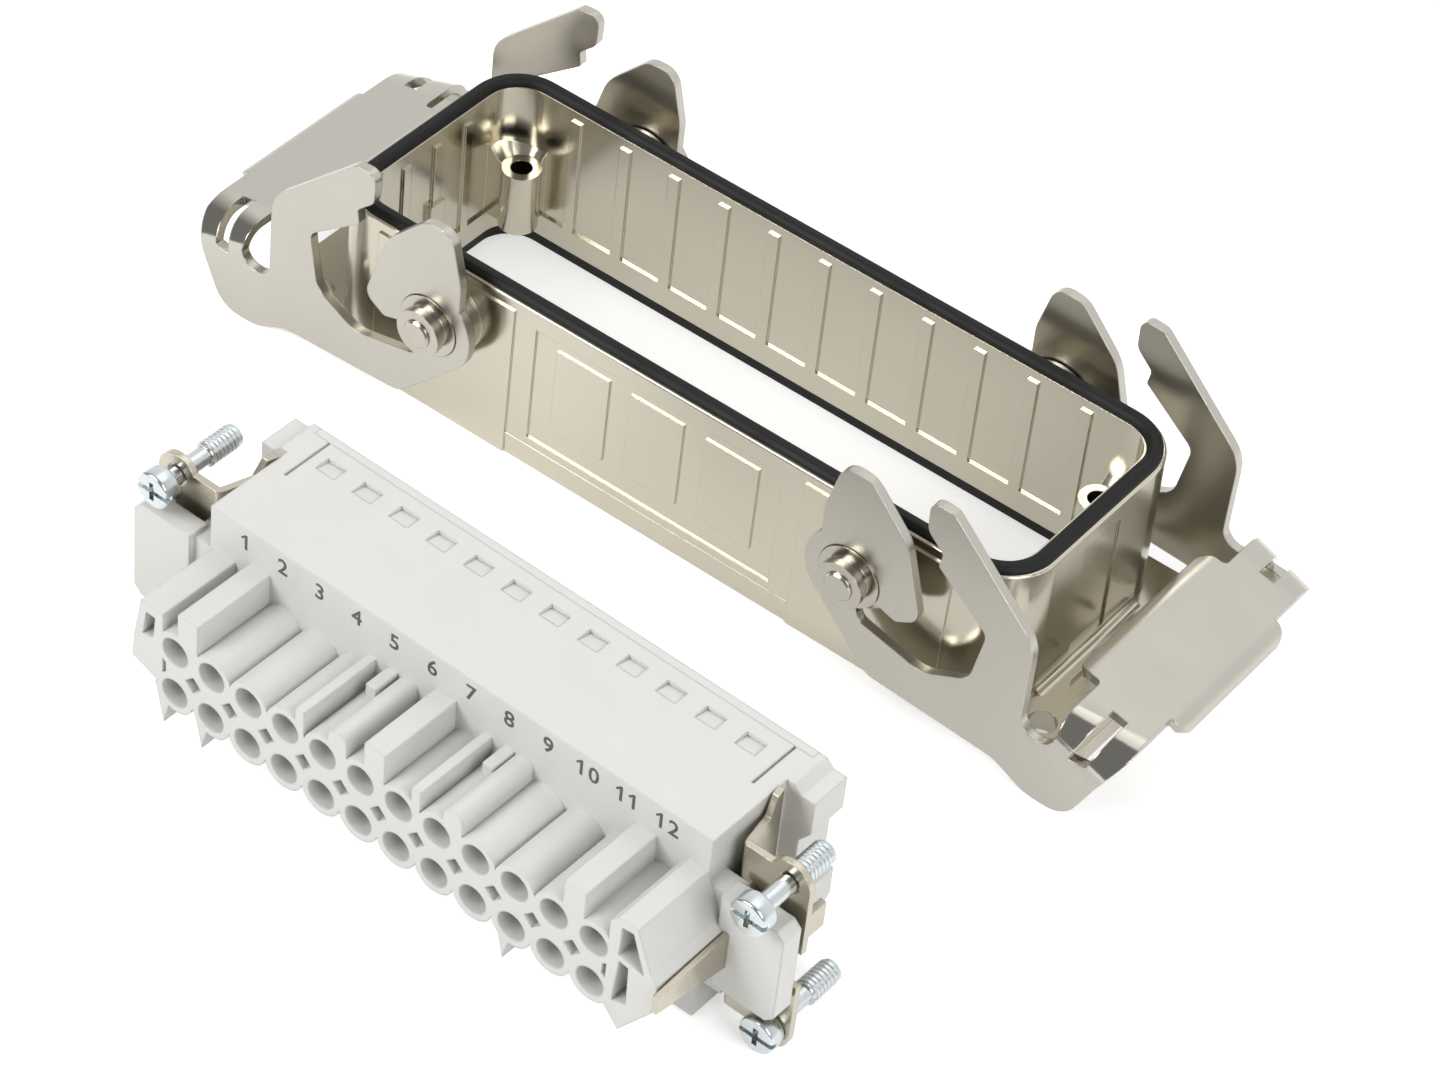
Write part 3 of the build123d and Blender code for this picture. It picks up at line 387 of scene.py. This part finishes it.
def moulded_surface():
    """Fine spark-eroded grain, faint shading and uneven gloss of moulded plastic or rubber."""
    group, given, made = group_of(
        "moulded_surface",
        [
            ("Colour", "NodeSocketColor", (0.6, 0.6, 0.6, 1)),
            ("Tone Spread", "NodeSocketFloat", 0.04),
            ("Gloss Low", "NodeSocketFloat", 0.4),
            ("Gloss High", "NodeSocketFloat", 0.55),
            ("Grain Scale", "NodeSocketFloat", 4000.0),
        ],
        SURFACE_OUTPUTS,
    )
    place = group.nodes.new("ShaderNodeTexCoord").outputs["Object"]
    clouds = noise(group, place, PLASTIC_CLOUDS)
    grain = noise(group, place, given.outputs["Grain Scale"], 1.0)
    shaded_colour(group, given, made, clouds)
    uneven_gloss(group, given, made, clouds)
    group.links.new(grain, made.inputs["Height"])
    return group


def turning_rings():
    """Fine rings of a turned face about a pivot, the same on all four pivots."""
    group, given, made = group_of(
        "turning_rings",
        [
            ("Pivot X", "NodeSocketFloat", 37.1 * MM),
            ("Pivot Z", "NodeSocketFloat", 19.5 * MM),
            ("Pitch", "NodeSocketFloat", 0.2 * MM),
        ],
        [("Height", "NodeSocketFloat")],
    )
    place = coordinates(group)
    across = maths(group, "SUBTRACT", maths(group, "ABSOLUTE", place["X"]), given.outputs["Pivot X"])
    upwards = maths(group, "SUBTRACT", place["Z"], given.outputs["Pivot Z"])
    across_squared = maths(group, "MULTIPLY", across, across)
    upwards_squared = maths(group, "MULTIPLY", upwards, upwards)
    radius = maths(group, "SQRT", maths(group, "ADD", across_squared, upwards_squared))
    rings = maths(group, "DIVIDE", radius, given.outputs["Pitch"])
    waves = maths(group, "SINE", maths(group, "MULTIPLY", rings, math.tau))
    group.links.new(waves, made.inputs["Height"])
    return group


def polished_bends():
    """How matt the levers are, one on their flats and less on the two bends beside the handle."""
    group, given, made = group_of(
        "polished_bends",
        [
            ("Handle Start", "NodeSocketFloat", 71.0 * MM),
            ("Bend Start", "NodeSocketFloat", 17.5 * MM),
            ("Bend Foot", "NodeSocketFloat", 7.0 * MM),
            ("Polish", "NodeSocketFloat", 0.4),
        ],
        [("Matt", "NodeSocketFloat")],
    )
    place = coordinates(group)
    masks = []
    for axis, start in (("X", "Handle Start"), ("Y", "Bend Start"), ("Z", "Bend Foot")):
        past = maths(group, "SUBTRACT", maths(group, "ABSOLUTE", place[axis]), given.outputs[start])
        mask = group.nodes.new("ShaderNodeMapRange")
        mask.inputs["From Max"].default_value = BEND_FADE
        group.links.new(past, mask.inputs["Value"])
        masks.append(mask.outputs["Result"])
    bend = maths(group, "MULTIPLY", maths(group, "MULTIPLY", masks[0], masks[1]), masks[2])
    matt = group.nodes.new("ShaderNodeMapRange")
    matt.inputs["To Min"].default_value = 1.0
    group.links.new(bend, matt.inputs["Value"])
    group.links.new(given.outputs["Polish"], matt.inputs["To Max"])
    group.links.new(matt.outputs["Result"], made.inputs["Matt"])
    return group


def material(name, group, values, metallic, bump, bump_distance, edge, ior=1.5, rings=None, bends=None):
    """A Principled material fed by a surface group.

    Sharp edges look rounded with the radius edge. The group rings adds turning marks, and the group
    bends adds the polish of a folded corner.
    """
    made = bpy.data.materials.new(name)
    made.use_nodes = True
    tree = made.node_tree
    shader = tree.nodes["Principled BSDF"]
    shader.inputs["Metallic"].default_value = metallic
    shader.inputs["IOR"].default_value = ior
    surface = tree.nodes.new("ShaderNodeGroup")
    surface.node_tree = group
    for socket, value in values.items():
        surface.inputs[socket].default_value = (*value, 1) if socket == "Colour" else value
    tree.links.new(surface.outputs["Colour"], shader.inputs["Base Color"])
    gloss = surface.outputs["Roughness"]
    if bends:
        polish = tree.nodes.new("ShaderNodeGroup")
        polish.node_tree = bends
        gloss = maths(tree, "MULTIPLY", gloss, polish.outputs["Matt"])
    tree.links.new(gloss, shader.inputs["Roughness"])
    softened = tree.nodes.new("ShaderNodeBevel")
    softened.samples = EDGE_SAMPLES
    softened.inputs["Radius"].default_value = edge
    relief = tree.nodes.new("ShaderNodeBump")
    tree.links.new(softened.outputs["Normal"], relief.inputs["Normal"])
    relief.inputs["Strength"].default_value = bump
    relief.inputs["Distance"].default_value = bump_distance
    tree.links.new(surface.outputs["Height"], relief.inputs["Height"])
    if rings:
        marks = tree.nodes.new("ShaderNodeGroup")
        marks.node_tree = rings
        cuts = tree.nodes.new("ShaderNodeBump")
        cuts.inputs["Strength"].default_value = RING_STRENGTH
        cuts.inputs["Distance"].default_value = RING_DEPTH
        tree.links.new(marks.outputs["Height"], cuts.inputs["Height"])
        tree.links.new(relief.outputs["Normal"], cuts.inputs["Normal"])
        relief = cuts
    tree.links.new(relief.outputs["Normal"], shader.inputs["Normal"])
    return made


def cover(piece, made):
    """Gives a piece this one material."""
    piece.data.materials.clear()
    piece.data.materials.append(made)


def give(made, *nodes):
    """Puts one material on these CAD nodes."""
    for node in nodes:
        cover(NODES[node], made)


def copy_of(master, name):
    """A copy of a piece with its own mesh."""
    piece = master.copy()
    piece.data = master.data.copy()
    piece.name = piece.data.name = name
    bpy.context.scene.collection.objects.link(piece)
    return piece


def remove(piece):
    """Deletes a piece that has served its purpose."""
    deselect()
    piece.select_set(True)
    bpy.ops.object.delete()


class CONNECTOR_OT_finishes(bpy.types.Operator):
    """Makes the materials and puts them on the CAD nodes"""

    bl_idname = "connector.finishes"
    bl_label = "Finishes"

    def execute(self, context):
        colours = context.scene.connector_finish
        plated = plated_surface()
        moulded = moulded_surface()
        casting = material(
            "nickel_casting", plated,
            {"Colour": colours.casting, "Tone Spread": 0.04, "Patch Scale": 70.0, "Gloss Low": 0.16,
             "Gloss High": 0.22},
            metallic=1.0, bump=0.3, bump_distance=0.2 * MM, edge=0.15 * MM,
        )
        lever = material(
            "nickel_sheet", plated,
            {"Colour": colours.lever, "Tone Spread": 0.04, "Patch Scale": 90.0, "Gloss Low": 0.28,
             "Gloss High": 0.34},
            metallic=1.0, bump=0.2, bump_distance=0.2 * MM, edge=0.3 * MM, bends=polished_bends(),
        )
        turned = material(
            "turned_nickel", plated,
            {"Colour": (0.50, 0.47, 0.41), "Tone Spread": 0.06, "Patch Scale": 250.0, "Gloss Low": 0.18,
             "Gloss High": 0.26},
            metallic=1.0, bump=0.1, bump_distance=0.1 * MM, edge=0.15 * MM, rings=turning_rings(),
        )
        bracket = material(
            "nickel_strip", plated,
            {"Colour": (0.54, 0.50, 0.41), "Tone Spread": 0.08, "Patch Scale": 180.0, "Gloss Low": 0.2,
             "Gloss High": 0.3},
            metallic=1.0, bump=0.2, bump_distance=0.1 * MM, edge=0.2 * MM,
        )
        zinc = material(
            "zinc_plate", plated,
            {"Colour": colours.zinc, "Tone Spread": 0.12, "Patch Scale": 420.0, "Gloss Low": 0.2,
             "Gloss High": 0.32},
            metallic=1.0, bump=0.15, bump_distance=0.05 * MM, edge=0.1 * MM,
        )
        silver = material(
            "silver_plate", plated,
            {"Colour": (0.78, 0.75, 0.68), "Tone Spread": 0.1, "Patch Scale": 300.0, "Gloss Low": 0.2,
             "Gloss High": 0.3},
            metallic=1.0, bump=0.1, bump_distance=0.1 * MM, edge=0.1 * MM,
        )
        plastic = material(
            "grey_moulding", moulded,
            {"Colour": colours.moulding, "Tone Spread": 0.03, "Gloss Low": 0.42, "Gloss High": 0.52,
             "Grain Scale": 5000.0},
            metallic=0.0, bump=0.06, bump_distance=0.05 * MM, edge=0.45 * MM,
        )
        rubber = material(
            "black_rubber", moulded,
            {"Colour": colours.rubber, "Tone Spread": 0.25, "Gloss Low": 0.5, "Gloss High": 0.62,
             "Grain Scale": 3500.0},
            metallic=0.0, bump=0.1, bump_distance=0.05 * MM, edge=0.6 * MM, ior=1.36,
        )
        material(
            "grey_ink", moulded,
            {"Colour": (0.1, 0.1, 0.1), "Tone Spread": 0.2, "Gloss Low": 0.5, "Gloss High": 0.7,
             "Grain Scale": 5000.0},
            metallic=0.0, bump=0.05, bump_distance=0.02 * MM, edge=0.01 * MM,
        )
        give(casting, "housing_shell")
        give(lever, "right_lever", "left_lever")
        give(rubber, "rim_gasket", "panel_gasket")
        give(plastic, "contact_carrier", "rear_cover")
        give(silver, "upper_contacts", "lower_contacts", "upper_wire_clamps", "lower_wire_clamps")
        give(bracket, "left_earth_bracket", "right_earth_bracket", "right_earth_blade")
        give(zinc, *SCREWS)
        for end in ("left", "right"):
            for place in ("front", "rear"):
                give(turned, f"pivot_pin_{end}_{place}", f"pivot_bush_{end}_{place}")
        return {"FINISHED"}


def use_modifier(piece, kind, **settings):
    """Adds a modifier with these settings and applies it."""
    modifier = piece.modifiers.new(kind, kind)
    for name, value in settings.items():
        setattr(modifier, name, value)
    bpy.context.view_layer.objects.active = piece
    bpy.ops.object.modifier_apply(modifier=modifier.name)


def cylinder(radius, low, high, sides=40):
    """A plain cylinder along Z between two heights."""
    deselect()
    bpy.ops.mesh.primitive_cylinder_add(
        vertices=sides, radius=radius, depth=high - low, location=(0, 0, (low + high) / 2)
    )
    return bpy.context.object


def cut_across(piece, size, depth):
    """Sinks a recess of this X and Y size into the piece's end at Z zero."""
    deselect()
    bpy.ops.mesh.primitive_cube_add(size=1, location=(0, 0, 0), scale=(size[0], size[1], 2 * depth))
    cutter = bpy.context.object
    use_modifier(piece, "BOOLEAN", object=cutter, operation="DIFFERENCE", solver="EXACT")
    remove(cutter)


def joined(parts):
    """Joins these pieces into the first one."""
    deselect()
    for part in parts:
        part.select_set(True)
    bpy.context.view_layer.objects.active = parts[0]
    if len(parts) > 1:
        bpy.ops.object.join()
    bpy.ops.object.transform_apply(location=True, rotation=True, scale=True)
    return parts[0]


def on_insert(piece, place):
    """Moves a piece's mesh, made at the origin, to its place in the insert's own frame."""
    piece.data.transform(INSERT_PLACE @ place)


def screw_master(sizes):
    """One screw along +Z, the face of its head at Z zero."""
    head = cylinder(sizes.head / 2, 0, sizes.head_height, 48)
    use_modifier(head, "BEVEL", width=HEAD_ROUND, segments=4, limit_method="ANGLE")
    cut_across(head, (2 * sizes.head, sizes.slot_width), SLOT_DEPTH)
    cut_across(head, (sizes.slot_width, CROSS_LENGTH), CROSS_DEPTH)
    thread_start = sizes.head_height + sizes.neck_length
    end = sizes.head_height + sizes.length
    ridge = sizes.pitch * RIDGE_SHARE
    core = sizes.thread / 2 - RIDGE_HEIGHT * ridge
    neck = cylinder(sizes.neck / 2, sizes.head_height * NECK_START, thread_start + ridge)
    shank = cylinder(core, thread_start, end)
    use_modifier(shank, "BEVEL", width=POINT_ROUND, segments=2, limit_method="ANGLE")
    deselect()
    bpy.ops.mesh.primitive_circle_add(
        vertices=3, radius=ridge, fill_type="NGON", rotation=(math.pi / 2, 0, 0)
    )
    coil = bpy.context.object
    bpy.ops.object.transform_apply(location=False, rotation=True, scale=False)
    bpy.ops.object.mode_set(mode="EDIT")
    bpy.ops.mesh.select_all(action="SELECT")
    bpy.ops.transform.rotate(value=math.pi / 2, orient_axis="Y", center_override=(0, 0, 0))
    bpy.ops.transform.translate(value=(sizes.thread / 2 - ridge, 0, thread_start + ridge))
    bpy.ops.mesh.delete(type="ONLY_FACE")
    bpy.ops.object.mode_set(mode="OBJECT")
    turns = (end - thread_start - RUN_OUT * ridge) / sizes.pitch
    steps = round(STEPS_PER_TURN * turns)
    use_modifier(
        coil, "SCREW", angle=math.tau * turns, screw_offset=sizes.pitch * turns, steps=steps,
        render_steps=steps, axis="Z",
    )
    bpy.ops.object.mode_set(mode="EDIT")
    bpy.ops.mesh.select_all(action="SELECT")
    bpy.ops.mesh.fill_holes(sides=3)
    bpy.ops.mesh.normals_make_consistent(inside=False)
    bpy.ops.object.mode_set(mode="OBJECT")
    screw = joined([head, neck, shank, coil])
    bpy.ops.object.shade_smooth_by_angle(angle=SMOOTH_ANGLE)
    return screw


class CONNECTOR_OT_screws(bpy.types.Operator):
    """Models one captive screw and copies it to its four places"""

    bl_idname = "connector.screws"
    bl_label = "Screws"

    def execute(self, context):
        sizes = context.scene.connector_screws
        master = screw_master(sizes)
        cover(master, bpy.data.materials["zinc_plate"])
        rearwards = Matrix.Rotation(-math.pi / 2, 4, "X")
        for name, (x, z, drawn) in SCREWS.items():
            piece = copy_of(master, f"threaded_{name}")
            face = BRACKET_Y - sizes.head_height - drawn
            on_insert(piece, Matrix.Translation((x, face, z)) @ rearwards)
            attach(piece, name)
            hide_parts(name)
        remove(master)
        return {"FINISHED"}


def printed_digit(digit, height, x):
    """One bold digit in the XY plane, its middle at x; the 1 gets a flag."""
    deselect()
    bpy.ops.object.text_add(location=(x, 0, 0))
    text = bpy.context.object
    text.data.body = digit
    text.data.size = height
    text.data.bevel_depth = STROKE
    text.data.bevel_resolution = 0
    text.data.align_x = "CENTER"
    text.data.align_y = "CENTER"
    bpy.ops.object.convert(target="MESH")
    piece = joined([bpy.context.object])
    if digit != "1":
        return piece
    left = min(corner.co.x for corner in piece.data.vertices)
    top = max(corner.co.y for corner in piece.data.vertices)
    deselect()
    bpy.ops.mesh.primitive_cube_add(
        size=1, location=(left - FLAG_LEFT * height, top - FLAG_DROP * height, 0),
        rotation=(0, 0, FLAG_TURN),
        scale=(FLAG_LENGTH * height, FLAG_WIDTH * height, FLAG_THICKNESS * STROKE),
    )
    return joined([piece, bpy.context.object])


class CONNECTOR_OT_numbers(bpy.types.Operator):
    """Prints the contact numbers on the insert"""

    bl_idname = "connector.numbers"
    bl_label = "Numbers"

    def execute(self, context):
        sizes = context.scene.connector_numbers
        upright = Matrix.Rotation(math.pi / 2, 4, "X")
        for count in range(POLES):
            number = str(count + 1)
            middle = (len(number) - 1) / 2
            digits = [
                printed_digit(digit, sizes.height, (place - middle) * DIGIT_SPACING * sizes.height)
                for place, digit in enumerate(number)
            ]
            piece = joined(digits)
            piece.name = piece.data.name = f"contact_number_{number}"
            cover(piece, bpy.data.materials["grey_ink"])
            x = sizes.first + count * sizes.pitch
            on_insert(piece, Matrix.Translation((x, sizes.wall, sizes.level)) @ upright)
            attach(piece, ROOT_BODY)
        return {"FINISHED"}


def window_floor(sizes):
    """A window's floor, its front right corner at Z zero; it falls to the left and the rear."""
    width, length = sizes.width - 2 * WINDOW_GAP, sizes.length - 2 * WINDOW_GAP
    deselect()
    bpy.ops.mesh.primitive_cube_add(
        size=1, location=(0, 0, -sizes.depth / 2), scale=(width, length, sizes.depth)
    )
    floor = bpy.context.object
    bpy.ops.object.transform_apply(location=True, rotation=False, scale=True)
    for side, share in (("left", LEFT_SHARE), ("rear", REAR_SHARE)):
        bpy.ops.object.mode_set(mode="EDIT")
        bpy.ops.mesh.select_mode(type="VERT")
        bpy.ops.mesh.select_all(action="DESELECT")
        bpy.ops.object.mode_set(mode="OBJECT")
        for corner in floor.data.vertices:
            on_side = corner.co.x < 0 if side == "left" else corner.co.y > 0
            corner.select = on_side and corner.co.z > -sizes.depth / 2
        bpy.ops.object.mode_set(mode="EDIT")
        bpy.ops.transform.translate(value=(0, 0, -share * sizes.fall))
        bpy.ops.object.mode_set(mode="OBJECT")
    return floor


class CONNECTOR_OT_windows(bpy.types.Operator):
    """Models one window's sloped floor and copies it behind every contact"""

    bl_idname = "connector.windows"
    bl_label = "Windows"

    def execute(self, context):
        sizes = context.scene.connector_windows
        pitch = context.scene.connector_numbers.pitch
        master = window_floor(sizes)
        cover(master, bpy.data.materials["grey_moulding"])
        for count in range(POLES):
            piece = copy_of(master, f"window_floor_{count + 1}")
            x = (count - (POLES - 1) / 2) * pitch + sizes.shift
            on_insert(piece, Matrix.Translation((x, sizes.start + sizes.length / 2, sizes.top)))
            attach(piece, ROOT_BODY)
        remove(master)
        return {"FINISHED"}


def grey(tone):
    """A grey as a colour."""
    return (tone, tone, tone, 1)


def lamp(name, place, size, power):
    """A softbox at place, facing what the lamps shine at."""
    data = bpy.data.lights.new(name, "AREA")
    data.shape = "RECTANGLE"
    data.size, data.size_y = size
    data.energy = power
    made = bpy.data.objects.new(name, data)
    bpy.context.scene.collection.objects.link(made)
    made.location = place
    made.rotation_mode = "QUATERNION"
    made.rotation_quaternion = (Vector(AIM) - Vector(place)).to_track_quat("-Z", "Y")


def floor_material():
    """Pale floor that keeps the shadow and shows white to the camera and in reflections."""
    made = bpy.data.materials.new("pale_floor")
    made.use_nodes = True
    tree = made.node_tree
    shader = tree.nodes["Principled BSDF"]
    shader.inputs["Roughness"].default_value = FLOOR_ROUGHNESS
    shader.inputs["Specular IOR Level"].default_value = 0.0
    shader.inputs["Emission Strength"].default_value = 1.0
    place = tree.nodes.new("ShaderNodeTexCoord").outputs["Object"]
    tone = spread(tree, noise(tree, place, FLOOR_CLOUDS), *FLOOR_TONE)
    rays = tree.nodes.new("ShaderNodeLightPath").outputs
    mirrored = maths(tree, "MULTIPLY", rays["Is Glossy Ray"], FLOOR_MIRRORED)
    seen = maths(tree, "MULTIPLY", rays["Is Camera Ray"], FLOOR_SEEN)
    glow = maths(tree, "ADD", mirrored, seen)
    for value, socket in ((tone, "Base Color"), (glow, "Emission Color")):
        colour = tree.nodes.new("ShaderNodeCombineColor")
        for channel in ("Red", "Green", "Blue"):
            tree.links.new(value, colour.inputs[channel])
        tree.links.new(colour.outputs["Color"], shader.inputs[socket])
    return made


def sky():
    """A studio sky, bright behind the connector and dim in front of it, and white to the camera."""
    made = bpy.data.worlds.new("studio")
    made.use_nodes = True
    tree = made.node_tree
    back = tree.nodes["Background"]
    rays = tree.nodes.new("ShaderNodeLightPath")
    split = tree.nodes.new("ShaderNodeSeparateXYZ")
    tree.links.new(tree.nodes.new("ShaderNodeTexCoord").outputs["Generated"], split.inputs[0])
    ramp = tree.nodes.new("ShaderNodeValToRGB")
    front_tone, back_tone = ramp.color_ramp.elements
    front_tone.position = 0.0
    front_tone.color = grey(SKY_FRONT)
    back_tone.position = SKY_BACK_START
    back_tone.color = grey(SKY_BACK)
    tree.links.new(split.outputs["Y"], ramp.inputs["Fac"])
    # A mix of colours takes its two colours at inputs 6 and 7 and gives its result at output 2
    mix = tree.nodes.new("ShaderNodeMix")
    mix.data_type = "RGBA"
    tree.links.new(rays.outputs["Is Camera Ray"], mix.inputs["Factor"])
    tree.links.new(ramp.outputs["Color"], mix.inputs[6])
    mix.inputs[7].default_value = grey(1)
    tree.links.new(mix.outputs[2], back.inputs["Color"])
    back.inputs["Strength"].default_value = 1.0
    return made


def add_camera(settings):
    """The photograph's camera, from its angles, distance, steps aside and lens."""
    turn, tilt, roll = settings.azimuth, settings.elevation, settings.roll
    level = Vector((math.cos(turn), math.sin(turn), 0))
    back_way = Vector((math.sin(turn) * math.cos(tilt), -math.cos(turn) * math.cos(tilt), math.sin(tilt)))
    upright = back_way.cross(level)
    right = math.cos(roll) * level + math.sin(roll) * upright
    up = math.cos(roll) * upright - math.sin(roll) * level
    data = bpy.data.cameras.new("camera")
    data.sensor_width = 36.0
    data.lens = settings.lens
    data.clip_start = 0.01
    data.clip_end = 20.0
    camera = bpy.data.objects.new("camera", data)
    bpy.context.scene.collection.objects.link(camera)
    turned = Matrix((right, up, back_way)).transposed()
    place = right * settings.aside[0] + up * settings.aside[1] + back_way * settings.distance
    camera.matrix_world = Matrix.Translation(place) @ turned.to_4x4()
    bpy.context.scene.camera = camera


class CONNECTOR_OT_stage(bpy.types.Operator):
    """Adds the floor, the sky, the lamps and the camera"""

    bl_idname = "connector.stage"
    bl_label = "Stage"

    def execute(self, context):
        deselect()
        bpy.ops.mesh.primitive_circle_add(
            vertices=96, radius=FLOOR_RADIUS, fill_type="NGON", location=(0, 0, FLOOR_LEVEL)
        )
        floor = context.object
        floor.name = "floor"
        floor.data.materials.append(floor_material())
        context.scene.world = sky()
        for name, (place, size, power) in LAMPS.items():
            lamp(name, place, size, power)
        add_camera(context.scene.connector_stage)
        context.scene.view_settings.view_transform = "Standard"
        return {"FINISHED"}


class CONNECTOR_PT_panel(bpy.types.Panel):
    """Lists the connector's settings and steps"""

    bl_idname = "CONNECTOR_PT_panel"
    bl_label = "Connector"
    bl_space_type = "VIEW_3D"
    bl_region_type = "UI"
    bl_category = "Connector"

    def draw(self, context):
        scene = context.scene
        groups = (
            scene.connector_finish, scene.connector_screws, scene.connector_numbers,
            scene.connector_windows, scene.connector_stage,
        )
        for settings in groups:
            box = self.layout.box()
            for name in settings.__annotations__:
                box.prop(settings, name)
        for step in STEPS:
            self.layout.operator(step.bl_idname)


STEPS = (
    CONNECTOR_OT_finishes, CONNECTOR_OT_screws, CONNECTOR_OT_numbers, CONNECTOR_OT_windows,
    CONNECTOR_OT_stage,
)
CLASSES = (
    FinishSettings, ScrewSettings, NumberSettings, WindowSettings, StageSettings, *STEPS, CONNECTOR_PT_panel
)


def register():
    for cls in CLASSES:
        bpy.utils.register_class(cls)
    bpy.types.Scene.connector_finish = bpy.props.PointerProperty(type=FinishSettings)
    bpy.types.Scene.connector_screws = bpy.props.PointerProperty(type=ScrewSettings)
    bpy.types.Scene.connector_numbers = bpy.props.PointerProperty(type=NumberSettings)
    bpy.types.Scene.connector_windows = bpy.props.PointerProperty(type=WindowSettings)
    bpy.types.Scene.connector_stage = bpy.props.PointerProperty(type=StageSettings)


def unregister():
    del bpy.types.Scene.connector_finish
    del bpy.types.Scene.connector_screws
    del bpy.types.Scene.connector_numbers
    del bpy.types.Scene.connector_windows
    del bpy.types.Scene.connector_stage
    for cls in reversed(CLASSES):
        bpy.utils.unregister_class(cls)


def main():
    register()
    bpy.ops.connector.finishes()
    bpy.ops.connector.screws()
    bpy.ops.connector.numbers()
    bpy.ops.connector.windows()
    bpy.ops.connector.stage()


if __name__ == "__main__":
    main()
